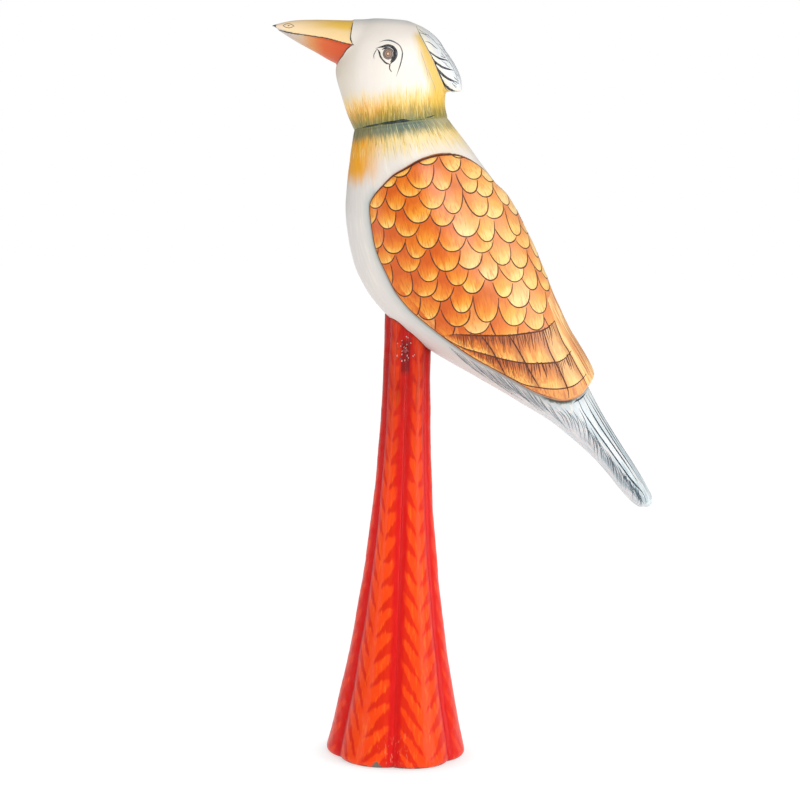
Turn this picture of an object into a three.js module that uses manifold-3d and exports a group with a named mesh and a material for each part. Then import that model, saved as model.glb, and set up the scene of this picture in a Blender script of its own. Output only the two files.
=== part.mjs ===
// Painted wooden bird on a fluted column: a free-standing carved figurine.
//
// Millimetres, +Z up. The bird faces -X and the figure is symmetric about the XZ plane.
// The origin is the centre of the column's flat underside.
//
// Two carved blocks, the body and the head, meet at a glued joint across the neck. The body sits
// in the saddle-cut top of the column. A dowel crosses each joint, and a nail driven up through
// the column's front groove pins the lower dowel. Touching pieces keep a small glue gap.

import * as THREE from "three";
import { mergeVertices } from "three/addons/utils/BufferGeometryUtils.js";
import Module from "manifold-3d";

const wasm = await Module();
wasm.setup();

// ---------------------------------------------------------------- driving dimensions

const GLUE_GAP = 0.3; // between any two touching pieces

const STEM_RADIUS = 9.7; // over the crests of the lobes
const FOOT_RADIUS = 29.5; // over the crests, before its lower edge is rounded
const FLARE_HEIGHT = 175; // where the flare runs out into the stem
const FLARE_POWER = 2.1;
const FOOT_ROUND = 3;
const LOBES = 6;
const GROOVE_DEPTH = 0.1; // share of the local radius
const COLUMN_TOP = 195; // blank length, before the saddle is cut

const WING_RELIEF = 1.6; // how far the wings stand proud of the torso
const SPINE_GROOVE = 1.2; // half the width of the groove between the wings

const NECK_DOWEL_RADIUS = 4;
const NECK_DOWEL_LENGTH = 36;
const STAND_DOWEL_RADIUS = 4.5;
const STAND_DOWEL_BOTTOM = 150;
const STAND_DOWEL_TOP = 204;

const NAIL_RADIUS = 0.9;
const NAIL_HEAD_RADIUS = 1.4;
const NAIL_HEAD_LENGTH = 0.8;
const NAIL_LENGTH = 27;
const NAIL_RISE = THREE.MathUtils.degToRad(38); // above the horizontal
const FILLER_RADIUS = 1.4;
const FILLER_LENGTH = 1.6;

// Facets of the carved body. A column facet and a body facet that meet are cut alike.
const TORSO_RINGS = 24;
const TORSO_SIDES = 32;
const MANTLE_RINGS = 16;

// Neck joint: a nearly flat saw cut, rising towards the nape.
const NECK_FRONT = [-24.6, 259.0];
const NECK_BACK = [13.4, 265.2];
const NECK_HALF_WIDTH = 17.4;

// Cross-sections. Each is [front x, front z, back x, back z, half width, roundness, belt]:
// the two outline points that the section spans, how wide it is, 2 for an ellipse and less for
// a diamond, and how far from front to back it is widest.
const TORSO = [
  [...NECK_FRONT, ...NECK_BACK, NECK_HALF_WIDTH, 2, 0.5],
  [-26.8, 240.0, 28.6, 246.4, 21.6, 2, 0.5],
  [-26.6, 221.0, 40.6, 230.0, 23.9, 2, 0.5],
  [-21.4, 200.2, 50.4, 211.6, 24.7, 2, 0.5],
  [-9.2, 184.4, 58.4, 193.6, 24.2, 2, 0.5],
  [9.0, 170.4, 65.2, 180.6, 22.4, 2, 0.5],
  [28.0, 160.0, 70.0, 169.4, 19.6, 2, 0.52],
  [47.0, 149.8, 73.6, 160.0, 16.4, 1.9, 0.56],
  [64.0, 139.6, 79.0, 149.6, 13.8, 1.7, 0.6],
  [79.0, 126.8, 87.4, 136.6, 12.2, 1.6, 0.62],
  [91.0, 113.4, 97.0, 122.8, 10.2, 1.6, 0.62],
  [97.0, 108.4, 102.6, 113.4, 7.6, 1.7, 0.6],
  [99.8, 108.4, 102.8, 110.6, 4.4, 1.9, 0.55],
];

// The back as it would run if the wings were full thickness down to their tips.
const MANTLE = [
  ...TORSO.slice(0, 6),
  [28.0, 160.0, 71.4, 171.0, 20.6, 2, 0.5],
  [47.0, 149.8, 75.6, 163.0, 18.6, 2, 0.5],
  [62.0, 140.0, 80.2, 152.6, 16.8, 2, 0.5],
];

// Side outline of a wing, from where it leaves the spine, over the shoulder and down the belly
// side to the tip.
const WING_OUTLINE = [
  [45.0, 228.0],
  [33.0, 239.3],
  [23.4, 248.3],
  [15.1, 251.0],
  [7.3, 249.9],
  [-3.2, 244.4],
  [-11.6, 237.1],
  [-16.0, 230.0],
  [-14.8, 219.0],
  [-11.8, 208.4],
  [-4.7, 194.8],
  [5.9, 183.9],
  [19.8, 173.9],
  [37.0, 164.1],
  [51.3, 156.2],
  [63.0, 152.6],
  [73.9, 157.6],
];
// Closing corners of the wing outline, well outside the back.
const BEYOND_BACK = [
  [90, 175],
  [70, 220],
];

const NECK_TO_CROWN = [
  [NECK_FRONT[0] + 0.05, NECK_FRONT[1] + GLUE_GAP, NECK_BACK[0] - 0.05, NECK_BACK[1] + GLUE_GAP, 17.3, 2, 0.5],
  [-27.6, 265.6, 12.2, 270.4, 16.6, 2, 0.5],
  [-30.2, 273.2, 12.4, 276.0, 16.8, 2, 0.5],
  [-32.6, 281.0, 14.0, 281.6, 17.5, 2, 0.5],
  [-32.4, 288.4, 13.6, 288.2, 17.4, 2, 0.5],
  [-29.4, 296.2, 9.6, 295.6, 15.4, 2, 0.5],
  [-24.8, 302.0, 3.4, 301.0, 10.8, 2, 0.5],
  [-19.0, 304.6, -4.0, 304.2, 5.4, 2, 0.5],
];

const BEAK = [
  [-20.0, 284.6, -20.0, 304.2, 11.6, 2, 0.5],
  [-26.0, 284.8, -26.0, 304.0, 10.9, 2, 0.5],
  [-33.0, 285.6, -33.0, 303.8, 9.2, 2, 0.5],
  [-42.0, 290.0, -42.0, 303.6, 6.4, 2, 0.5],
  [-50.0, 294.4, -50.0, 303.1, 4.0, 2, 0.5],
  [-56.0, 297.8, -56.0, 301.9, 2.3, 2, 0.5],
  [-59.6, 300.0, -59.6, 300.9, 0.6, 2, 0.5],
];

const CREST = [
  [-4.0, 299.6, 0.4, 302.2, 5.0, 2, 0.5],
  [-1.0, 294.6, 6.6, 297.9, 8.2, 2, 0.5],
  [1.0, 289.0, 12.0, 292.2, 10.0, 2, 0.5],
  [2.4, 283.4, 16.0, 286.4, 9.8, 2, 0.5],
  [4.2, 278.4, 18.6, 280.4, 8.0, 2, 0.5],
  [9.0, 275.2, 18.8, 276.4, 5.4, 2, 0.5],
];

// ---------------------------------------------------------------- shape helpers

// A smooth curve through evenly spaced rows of numbers, read at u from 0 to 1.
function rowAt(rows, u) {
  const last = rows.length - 1;
  const place = Math.min(Math.max(u, 0), 1) * last;
  const i = Math.min(Math.floor(place), last - 1);
  const t = place - i;
  const row = (k) => rows[Math.min(Math.max(k, 0), last)];
  return row(i).map((b, n) => {
    const a = row(i - 1)[n];
    const c = row(i + 1)[n];
    const d = row(i + 2)[n];
    const bend = (2 * a - 5 * b + 4 * c - d) * t * t;
    const twist = (3 * b - a - 3 * c + d) * t * t * t;
    return 0.5 * (2 * b + (c - a) * t + bend + twist);
  });
}

// A point on a cross-section. The angle runs from the back (0) round the side to the front (pi).
function sectionPoint(row, angle, grow) {
  const [frontX, frontZ, backX, backZ, halfWidth, roundness, belt] = row;
  const power = 2 / roundness;
  const up = Math.sign(Math.cos(angle)) * Math.abs(Math.cos(angle)) ** power;
  const out = Math.sign(Math.sin(angle)) * Math.abs(Math.sin(angle)) ** power;
  const depth = Math.hypot(backX - frontX, backZ - frontZ);
  const along = [(backX - frontX) / depth, (backZ - frontZ) / depth];
  const reach = up > 0 ? depth * (1 - belt) + grow : depth * belt + grow;
  const fromFront = depth * belt + reach * up;
  return [frontX + along[0] * fromFront, (halfWidth + grow) * out, frontZ + along[1] * fromFront];
}

// A closed body through a run of cross-sections, with flat ends.
function loft(rows, rings, around, grow = 0) {
  const positions = [];
  for (let i = 0; i <= rings; i += 1) {
    const row = rowAt(rows, i / rings);
    for (let j = 0; j < around; j += 1) {
      positions.push(...sectionPoint(row, (2 * Math.PI * j) / around, grow));
    }
  }
  return closedSkin(positions, rings, around);
}

// Joins rings of points into one closed body, each end filled by a fan to its middle point.
function closedSkin(positions, rings, around) {
  const index = [];
  for (let i = 0; i < rings; i += 1) {
    for (let j = 0; j < around; j += 1) {
      const next = (j + 1) % around;
      const a = i * around + j;
      const b = i * around + next;
      const c = (i + 1) * around + next;
      const d = (i + 1) * around + j;
      index.push(a, b, c, a, c, d);
    }
  }
  for (const [ring, isFirst] of [[0, true], [rings, false]]) {
    const middle = [0, 0, 0];
    for (let j = 0; j < around; j += 1) {
      for (let n = 0; n < 3; n += 1) {
        middle[n] += positions[(ring * around + j) * 3 + n] / around;
      }
    }
    const hub = positions.length / 3;
    positions.push(...middle);
    for (let j = 0; j < around; j += 1) {
      const a = ring * around + j;
      const b = ring * around + ((j + 1) % around);
      index.push(...(isFirst ? [hub, b, a] : [hub, a, b]));
    }
  }
  if (signedVolume(positions, index) < 0) {
    index.reverse();
  }
  const geometry = new THREE.BufferGeometry();
  geometry.setAttribute("position", new THREE.Float32BufferAttribute(positions, 3));
  geometry.setIndex(index);
  return geometry;
}

// Positive when the triangles face outwards.
function signedVolume(positions, index) {
  const corner = (i) => new THREE.Vector3().fromArray(positions, index[i] * 3);
  let volume = 0;
  for (let i = 0; i < index.length; i += 3) {
    volume += corner(i).dot(corner(i + 1).cross(corner(i + 2))) / 6;
  }
  return volume;
}

function toSolid(geometry) {
  const bare = geometry.clone();
  bare.deleteAttribute("normal");
  bare.deleteAttribute("uv");
  const merged = mergeVertices(bare, 1e-4);
  const mesh = new wasm.Mesh({
    numProp: 3,
    vertProperties: new Float32Array(merged.attributes.position.array),
    triVerts: new Uint32Array(merged.index.array),
  });
  return new wasm.Manifold(mesh);
}

function toGeometry(manifold) {
  const mesh = manifold.getMesh();
  const geometry = new THREE.BufferGeometry();
  geometry.setAttribute("position", new THREE.BufferAttribute(new Float32Array(mesh.vertProperties), 3));
  geometry.setIndex(new THREE.BufferAttribute(new Uint32Array(mesh.triVerts), 1));
  return geometry;
}

// A round bar from one point to another.
function rod(radius, from, to, sides = 20) {
  const start = new THREE.Vector3(...from);
  const run = new THREE.Vector3(...to).sub(start);
  const geometry = new THREE.CylinderGeometry(radius, radius, run.length(), sides);
  geometry.translate(0, run.length() / 2, 0);
  const turn = new THREE.Quaternion().setFromUnitVectors(new THREE.Vector3(0, 1, 0), run.normalize());
  geometry.applyQuaternion(turn);
  geometry.translate(start.x, start.y, start.z);
  return geometry;
}

// The point at a distance along a direction from a start point.
function step(start, direction, distance) {
  return start.map((value, n) => value + direction[n] * distance);
}

// ---------------------------------------------------------------- joint places

// Neck dowel: square to the neck joint, at its middle.
const neckLength = Math.hypot(NECK_BACK[0] - NECK_FRONT[0], NECK_BACK[1] - NECK_FRONT[1]);
const neckUp = [
  -(NECK_BACK[1] - NECK_FRONT[1]) / neckLength,
  0,
  (NECK_BACK[0] - NECK_FRONT[0]) / neckLength,
];
const neckMiddle = [(NECK_FRONT[0] + NECK_BACK[0]) / 2, 0, (NECK_FRONT[1] + NECK_BACK[1]) / 2];
const neckDowelEnds = [-0.5, 0.5].map((share) => step(neckMiddle, neckUp, share * NECK_DOWEL_LENGTH));

// Nail: in the plane of the front groove, from the groove's surface up into the belly.
const nailRun = [0, Math.cos(NAIL_RISE), Math.sin(NAIL_RISE)];
const fillerFace = [-0.6, -9.1, 170.6];
const nailTop = step(fillerFace, nailRun, FILLER_LENGTH + GLUE_GAP);
const nailTip = step(nailTop, nailRun, NAIL_LENGTH);
const nailHole = () => toSolid(rod(NAIL_RADIUS + GLUE_GAP, nailTop, step(nailTip, nailRun, GLUE_GAP), 12));
const nailMouth = () => toSolid(rod(
  NAIL_HEAD_RADIUS + GLUE_GAP,
  step(fillerFace, nailRun, -4),
  step(nailTop, nailRun, NAIL_HEAD_LENGTH + GLUE_GAP),
  16,
));
const standDowelHole = () => toSolid(rod(
  STAND_DOWEL_RADIUS + GLUE_GAP,
  [0, 0, STAND_DOWEL_BOTTOM - GLUE_GAP],
  [0, 0, STAND_DOWEL_TOP + GLUE_GAP],
  24,
));
const neckDowelHole = () => toSolid(rod(
  NECK_DOWEL_RADIUS + GLUE_GAP,
  step(neckDowelEnds[0], neckUp, -GLUE_GAP),
  step(neckDowelEnds[1], neckUp, GLUE_GAP),
  24,
));

// ---------------------------------------------------------------- column

// Radius over the lobe crests at a height: a stem that flares into the foot.
function crestRadius(z) {
  const below = Math.max(1 - z / FLARE_HEIGHT, 0);
  return STEM_RADIUS + (FOOT_RADIUS - STEM_RADIUS) * below ** FLARE_POWER;
}

function columnStand() {
  const rings = 18;
  const roundRings = 3;
  const around = LOBES * 8;
  const positions = [];
  for (let i = 0; i <= rings; i += 1) {
    const z = i < roundRings
      ? FOOT_ROUND * (1 - Math.cos((i / roundRings) * Math.PI / 2))
      : FOOT_ROUND + (COLUMN_TOP - FOOT_ROUND) * ((i - roundRings) / (rings - roundRings)) ** 1.25;
    const tuck = z < FOOT_ROUND ? FOOT_ROUND - Math.sqrt(FOOT_ROUND ** 2 - (FOOT_ROUND - z) ** 2) : 0;
    for (let j = 0; j < around; j += 1) {
      // A groove faces the front, and the lobes swell evenly between grooves.
      const angle = (2 * Math.PI * j) / around - Math.PI / 2;
      const swell = Math.abs(Math.sin((LOBES / 2) * (angle + Math.PI / 2))) ** 0.9;
      const radius = crestRadius(z) * (1 - GROOVE_DEPTH * (1 - swell)) - tuck;
      positions.push(radius * Math.cos(angle), radius * Math.sin(angle), z);
    }
  }
  const blank = toSolid(closedSkin(positions, rings, around));
  return blank
    .subtract(toSolid(loft(TORSO, TORSO_RINGS, TORSO_SIDES, GLUE_GAP)))
    .subtract(standDowelHole())
    .subtract(nailHole())
    .subtract(nailMouth());
}

// ---------------------------------------------------------------- carved blocks

// Both wings: the outline cut through the full-thickness back, less a groove along the spine.
function wings() {
  const outline = new THREE.Shape();
  const shoulder = WING_OUTLINE[0];
  outline.moveTo(...shoulder);
  outline.splineThru(WING_OUTLINE.slice(1).map(([x, z]) => new THREE.Vector2(x, z)));
  for (const corner of BEYOND_BACK) {
    outline.lineTo(...corner);
  }
  outline.closePath();
  const width = 80;
  const cutter = new THREE.ExtrudeGeometry(outline, { depth: width, bevelEnabled: false, curveSegments: 4 });
  cutter.rotateX(Math.PI / 2);
  cutter.translate(0, width / 2, 0);
  const groove = new THREE.BoxGeometry(150, 2 * SPINE_GROOVE, 150);
  groove.translate(20, 0, 215);
  return toSolid(loft(MANTLE, MANTLE_RINGS, TORSO_SIDES, WING_RELIEF)).intersect(toSolid(cutter)).subtract(toSolid(groove));
}

function bodyWithTail() {
  return toSolid(loft(TORSO, TORSO_RINGS, TORSO_SIDES))
    .add(wings())
    .subtract(neckDowelHole())
    .subtract(standDowelHole())
    .subtract(nailHole());
}

function headWithBeak() {
  return toSolid(loft(NECK_TO_CROWN, 16, 28))
    .add(toSolid(loft(BEAK, 12, 20)))
    .add(toSolid(loft(CREST, 10, 20)))
    .subtract(neckDowelHole());
}

// ---------------------------------------------------------------- dowels, nail and filler

function standDowel() {
  return toSolid(rod(STAND_DOWEL_RADIUS, [0, 0, STAND_DOWEL_BOTTOM], [0, 0, STAND_DOWEL_TOP]))
    .subtract(nailHole());
}

function standNail() {
  const headEnd = step(nailTop, nailRun, NAIL_HEAD_LENGTH);
  return toSolid(rod(NAIL_RADIUS, nailTop, nailTip, 12))
    .add(toSolid(rod(NAIL_HEAD_RADIUS, nailTop, headEnd, 16)));
}

function nailHoleFiller() {
  return toSolid(rod(FILLER_RADIUS, fillerFace, step(fillerFace, nailRun, FILLER_LENGTH), 16));
}

// ---------------------------------------------------------------- assembly

const LOOKS = {
  redLacquer: { color: 0xf4491c, roughness: 0.35, metalness: 0 },
  creamPaint: { color: 0xe6ddd4, roughness: 0.4, metalness: 0 },
  bareWood: { color: 0xb98b58, roughness: 0.75, metalness: 0 },
  steel: { color: 0x8f9296, roughness: 0.4, metalness: 1 },
  darkLacquer: { color: 0x7c2a18, roughness: 0.3, metalness: 0 },
};

const figurine = new THREE.Group();

function place(name, solid, look) {
  const mesh = new THREE.Mesh(toGeometry(solid), new THREE.MeshStandardMaterial(LOOKS[look]));
  mesh.name = name;
  figurine.add(mesh);
}

place("column_stand", columnStand(), "redLacquer");
place("body_with_tail", bodyWithTail(), "creamPaint");
place("head_with_beak", headWithBeak(), "creamPaint");
place("neck_dowel", toSolid(rod(NECK_DOWEL_RADIUS, ...neckDowelEnds)), "bareWood");
place("stand_dowel", standDowel(), "bareWood");
place("stand_nail", standNail(), "steel");
place("nail_hole_filler", nailHoleFiller(), "darkLacquer");

export default figurine;
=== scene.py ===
"""Looks of the painted wooden bird on its fluted column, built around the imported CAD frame.

Lengths in this file are millimetres until a mesh is made, and MM turns them into metres.
The bird faces -X. Its left side, the side that faces the camera, is -Y, and the right side is
a mirrored copy. "Side view" means a place given as (x, z), looking along +Y.
"""

import math

import bmesh
import bpy
import numpy as np
from mathutils import Matrix, Vector
from mathutils.bvhtree import BVHTree


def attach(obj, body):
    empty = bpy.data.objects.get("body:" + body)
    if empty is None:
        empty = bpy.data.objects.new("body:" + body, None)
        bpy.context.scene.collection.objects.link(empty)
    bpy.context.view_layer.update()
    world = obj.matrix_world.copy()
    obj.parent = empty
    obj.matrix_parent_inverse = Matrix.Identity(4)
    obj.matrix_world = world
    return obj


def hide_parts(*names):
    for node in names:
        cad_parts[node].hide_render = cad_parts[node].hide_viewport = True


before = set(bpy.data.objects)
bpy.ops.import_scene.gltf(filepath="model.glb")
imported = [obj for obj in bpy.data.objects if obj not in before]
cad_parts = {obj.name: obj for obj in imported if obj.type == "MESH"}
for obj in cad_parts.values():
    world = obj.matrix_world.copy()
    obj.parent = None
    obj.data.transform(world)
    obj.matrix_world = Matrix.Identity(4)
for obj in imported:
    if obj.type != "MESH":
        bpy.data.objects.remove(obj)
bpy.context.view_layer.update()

MM = 0.001
LEFT = -1
RIGHT = 1
BODY = "root"
SCALE_SEED = 7
STROKE_SEED = 21
rng = np.random.default_rng(SCALE_SEED)

# ------------------------------------------------------------------ driving dimensions

NECK_FRONT = (-24.6, 259.0)
NECK_BACK = (13.4, 265.2)
GLUE_GAP = 0.3

STEM_RADIUS = 9.7
FOOT_RADIUS = 29.5
FLARE_HEIGHT = 175.0
FLARE_POWER = 2.1
FOOT_ROUND = 3.0
LOBES = 6
GROOVE_DEPTH = 0.1
CHEVRON_SPACING = 10.2
# How far each lobe's chevrons are shifted, and how much red is brushed over them.
LOBE_PHASE = np.array([0.1, 0.62, 0.33, 0.85, 0.47, 0.2])
LOBE_FLUSH = np.array([0.1, 0.8, 0.2, 0.35, 0.7, 0.15])

WING_RELIEF = 1.6
WING_UNDERSIDE = -1.5

# Cross-sections, as in the CAD source: front x, front z, back x, back z, half width, roundness
# (2 is an ellipse), and the share from front to back where the section is widest.
TORSO = np.array([
    (*NECK_FRONT, *NECK_BACK, 17.4, 2, 0.5),
    (-26.8, 240.0, 28.6, 246.4, 21.6, 2, 0.5),
    (-26.6, 221.0, 40.6, 230.0, 23.9, 2, 0.5),
    (-21.4, 200.2, 50.4, 211.6, 24.7, 2, 0.5),
    (-9.2, 184.4, 58.4, 193.6, 24.2, 2, 0.5),
    (9.0, 170.4, 65.2, 180.6, 22.4, 2, 0.5),
    (28.0, 160.0, 70.0, 169.4, 19.6, 2, 0.52),
    (47.0, 149.8, 73.6, 160.0, 16.4, 1.9, 0.56),
    (64.0, 139.6, 79.0, 149.6, 13.8, 1.7, 0.6),
    (79.0, 126.8, 87.4, 136.6, 12.2, 1.6, 0.62),
    (91.0, 113.4, 97.0, 122.8, 10.2, 1.6, 0.62),
    (97.0, 108.4, 102.6, 113.4, 7.6, 1.7, 0.6),
    (99.8, 108.4, 102.8, 110.6, 4.4, 1.9, 0.55),
])
MANTLE = np.vstack([TORSO[:6], [
    (28.0, 160.0, 71.4, 171.0, 20.6, 2, 0.5),
    (47.0, 149.8, 75.6, 163.0, 18.6, 2, 0.5),
    (62.0, 140.0, 80.2, 152.6, 16.8, 2, 0.5),
]])
SKULL = np.array([
    (NECK_FRONT[0], NECK_FRONT[1] + GLUE_GAP, NECK_BACK[0], NECK_BACK[1] + GLUE_GAP, 17.3, 2, 0.5),
    (-27.6, 265.6, 12.2, 270.4, 16.6, 2, 0.5),
    (-30.2, 273.2, 12.4, 276.0, 16.8, 2, 0.5),
    (-32.6, 281.0, 14.0, 281.6, 17.5, 2, 0.5),
    (-32.4, 288.4, 13.6, 288.2, 17.4, 2, 0.5),
    (-29.4, 296.2, 9.6, 295.6, 15.4, 2, 0.5),
    (-24.8, 302.0, 3.4, 301.0, 10.8, 2, 0.5),
    (-19.0, 304.6, -4.0, 304.2, 5.4, 2, 0.5),
])
BEAK = np.array([
    (-20.0, 284.6, -20.0, 304.2, 11.6, 2, 0.5),
    (-26.0, 284.8, -26.0, 304.0, 10.9, 2, 0.5),
    (-33.0, 285.6, -33.0, 303.8, 9.2, 2, 0.5),
    (-42.0, 290.0, -42.0, 303.6, 6.4, 2, 0.5),
    (-50.0, 294.4, -50.0, 303.1, 4.0, 2, 0.5),
    (-56.0, 297.8, -56.0, 301.9, 2.3, 2, 0.5),
    (-59.6, 300.0, -59.6, 300.9, 0.6, 2, 0.5),
])
CREST = np.array([
    (-4.0, 299.6, 0.4, 302.2, 5.0, 2, 0.5),
    (-1.0, 294.6, 6.6, 297.9, 8.2, 2, 0.5),
    (1.0, 289.0, 12.0, 292.2, 10.0, 2, 0.5),
    (2.4, 283.4, 16.0, 286.4, 9.8, 2, 0.5),
    (4.2, 278.4, 18.6, 280.4, 8.0, 2, 0.5),
    (9.0, 275.2, 18.8, 276.4, 5.4, 2, 0.5),
])

# ------------------------------------------------------------------ lofted skins


def between(a, b, c, d, t):
    """A smooth curve from b (t = 0) to c (t = 1) that heeds the points before and after them."""
    bend = (2 * a - 5 * b + 4 * c - d) * t ** 2
    twist = (3 * b - a - 3 * c + d) * t ** 3
    return 0.5 * (2 * b + (c - a) * t + bend + twist)


def rows_at(rows, share):
    """The cross-section rows at each share (0 to 1) of the way along, on a smooth curve."""
    last = len(rows) - 1
    place = np.clip(share, 0, 1) * last
    i = np.minimum(place.astype(int), last - 1)
    return between(*(rows[np.clip(i + k, 0, last)] for k in (-1, 0, 1, 2)), (place - i)[..., None])


def signed_power(value, power):
    return np.sign(value) * np.abs(value) ** power


def section_parts(row, grow):
    """A section's front point, its unit front-to-back direction, and its widest place and reaches."""
    front = row[..., 0:2]
    run = row[..., 2:4] - front
    depth = np.hypot(run[..., 0], run[..., 1])
    belt = row[..., 6] * depth
    return front, run / depth[..., None], belt, depth - belt + grow, belt + grow


def skin_point(rows, share, angle, grow=0.0):
    """Points on a loft. The angle runs from the back (0) round the left side to the front (pi)."""
    row = rows_at(rows, np.asarray(share, float))
    front, along, belt, back_reach, front_reach = section_parts(row, np.asarray(grow))
    power = 2 / row[..., 5]
    up = signed_power(np.cos(angle), power)
    out = signed_power(np.sin(angle), power)
    from_front = belt + np.where(up > 0, back_reach, front_reach) * up
    flat = front + along * from_front[..., None]
    return np.stack([flat[..., 0], -(row[..., 4] + grow) * out, flat[..., 1]], -1)


def share_at(rows, flat):
    """How far along the loft the section that passes through each side-view point lies."""
    low = np.zeros(len(flat))
    high = np.ones(len(flat))
    for _ in range(36):
        middle = (low + high) / 2
        row = rows_at(rows, middle)
        run = row[:, 2:4] - row[:, 0:2]
        off = flat - row[:, 0:2]
        beyond = run[:, 0] * off[:, 1] - run[:, 1] * off[:, 0] > 0
        high = np.where(beyond, middle, high)
        low = np.where(beyond, low, middle)
    return (low + high) / 2


def from_side_view(rows, flat, grow=0.0):
    """The share and angle of the loft's left-side points seen at these side-view places."""
    flat = np.atleast_2d(np.asarray(flat, float))
    share = share_at(rows, flat)
    row = rows_at(rows, share)
    front, along, belt, back_reach, front_reach = section_parts(row, grow)
    up = ((flat - front) * along).sum(1) - belt
    up = np.clip(up / np.where(up > 0, back_reach, front_reach), -1, 1)
    return share, np.arccos(signed_power(up, row[:, 5] / 2))


ARC_STEPS = 72


def arc_tables(rows, share, grow):
    """Arc length from the widest place towards the back and the front, at even angle steps."""
    row = rows_at(rows, share)
    _, _, _, back_reach, front_reach = section_parts(row, grow)
    angle = np.linspace(0, math.pi / 2, ARC_STEPS)
    power = (2 / row[:, 5])[:, None]
    across = (row[:, 4] + grow)[:, None] * signed_power(np.cos(angle), power)
    tables = []
    for reach in (back_reach, front_reach):
        lengthwise = reach[:, None] * signed_power(np.sin(angle), power)
        steps = np.hypot(np.diff(across, axis=1), np.diff(lengthwise, axis=1))
        tables.append(np.hstack([np.zeros((len(share), 1)), np.cumsum(steps, axis=1)]))
    return angle, tables[0], tables[1]


def interp_rows(x, table, values):
    """np.interp along each row of a rising table, for one x in each row."""
    i = np.clip((table < x[:, None]).sum(1) - 1, 0, table.shape[1] - 2)
    pick = np.arange(len(x))
    low = table[pick, i]
    high = table[pick, i + 1]
    part = np.clip((x - low) / np.maximum(high - low, 1e-9), 0, 1)
    return values[i] + (values[i + 1] - values[i]) * part


def unroll(rows, share, angle, grow=0.0):
    """Flattens the skin: side-view places, with true arc length in place of foreshortening."""
    row = rows_at(rows, share)
    front, along, belt, _, _ = section_parts(row, grow)
    steps, to_back, to_front = arc_tables(rows, share, grow)
    lean = math.pi / 2 - angle
    pick = np.clip(np.abs(lean) / (math.pi / 2) * (ARC_STEPS - 1), 0, ARC_STEPS - 1.001)
    i = pick.astype(int)
    part = pick - i
    n = np.arange(len(share))
    table = np.where((lean > 0)[:, None], to_back, to_front)
    arc = table[n, i] * (1 - part) + table[n, i + 1] * part
    return front + along * (belt + np.sign(lean) * arc)[:, None]


def roll_up(rows, flat, grow=0.0):
    """The inverse of unroll: the share and angle of places on the flattened skin."""
    share = share_at(rows, flat)
    row = rows_at(rows, share)
    front, along, belt, _, _ = section_parts(row, grow)
    arc = ((flat - front) * along).sum(1) - belt
    steps, to_back, to_front = arc_tables(rows, share, grow)
    lean = np.where(
        arc > 0,
        interp_rows(np.abs(arc), to_back, steps),
        -interp_rows(np.abs(arc), to_front, steps),
    )
    return share, math.pi / 2 - lean


# ------------------------------------------------------------------ numbers over a surface


def smooth_step(value, low, high):
    t = np.clip((value - low) / (high - low), 0, 1)
    return t * t * (3 - 2 * t)


def curve_through(points, count):
    """A smooth run of points through the given ones, evenly spaced by length."""
    points = np.asarray(points, float)
    ext = np.vstack([2 * points[0] - points[1], points, 2 * points[-1] - points[-2]])
    runs = []
    for k in range(len(points) - 1):
        runs.append(between(*ext[k:k + 4], np.linspace(0, 1, 24, endpoint=False)[:, None]))
    runs.append(points[-1:])
    dense = np.vstack(runs)
    length = np.r_[0, np.cumsum(np.linalg.norm(np.diff(dense, axis=0), axis=1))]
    even = np.linspace(0, length[-1], count)
    return np.stack([np.interp(even, length, dense[:, n]) for n in range(dense.shape[1])], 1)


def distance_to_line(flat, line):
    """Distance from each place to an open line of points, and the nearest point's share along it."""
    best = np.full(len(flat), 1e9)
    share = np.zeros(len(flat))
    pieces = len(line) - 1
    for k in range(pieces):
        a = line[k]
        run = line[k + 1] - a
        t = np.clip(((flat - a) @ run) / max(run @ run, 1e-12), 0, 1)
        gap = np.linalg.norm(flat - a - t[:, None] * run, axis=1)
        nearer = gap < best
        best = np.where(nearer, gap, best)
        share = np.where(nearer, (k + t) / pieces, share)
    return best, share


def inside(flat, outline):
    """Whether each place is inside a closed outline."""
    result = np.zeros(len(flat), bool)
    x = flat[:, 0]
    z = flat[:, 1]
    ends = np.roll(outline, -1, axis=0)
    for (ax, az), (bx, bz) in zip(outline, ends):
        crosses = (az > z) != (bz > z)
        at = ax + (z - az) / (bz - az if bz != az else 1e-12) * (bx - ax)
        result ^= crosses & (x < at)
    return result


def signed_distance(flat, outline):
    """Distance to a closed outline, positive inside it."""
    closed = np.vstack([outline, outline[:1]])
    gap, _ = distance_to_line(flat, closed)
    return np.where(inside(flat, outline), gap, -gap)


def lumps(points, size, seed=0):
    """Soft hand-carved unevenness between -1 and 1, from a few sine waves in random directions."""
    local = np.random.default_rng(seed)
    total = np.zeros(len(points))
    for _ in range(10):
        direction = local.normal(size=3)
        direction /= np.linalg.norm(direction)
        wave = 2 * math.pi / (size * local.uniform(0.7, 1.6))
        total += np.sin(points @ direction * wave + local.uniform(0, 2 * math.pi))
    return total / 5


# ------------------------------------------------------------------ meshes


def make_object(name, points, faces, fields=None):
    """A smoothly shaded mesh object from points in millimetres, with numbers on its vertices."""
    mesh = bpy.data.meshes.new(name)
    mesh.from_pydata((np.asarray(points) * MM).tolist(), [], faces)
    for field, values in (fields or {}).items():
        layer = mesh.attributes.new(field, "FLOAT", "POINT")
        layer.data.foreach_set("value", np.asarray(values, np.float32))
    mesh.update()
    mesh.polygons.foreach_set("use_smooth", [True] * len(mesh.polygons))
    obj = bpy.data.objects.new(name, mesh)
    bpy.context.collection.objects.link(obj)
    return obj


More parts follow.
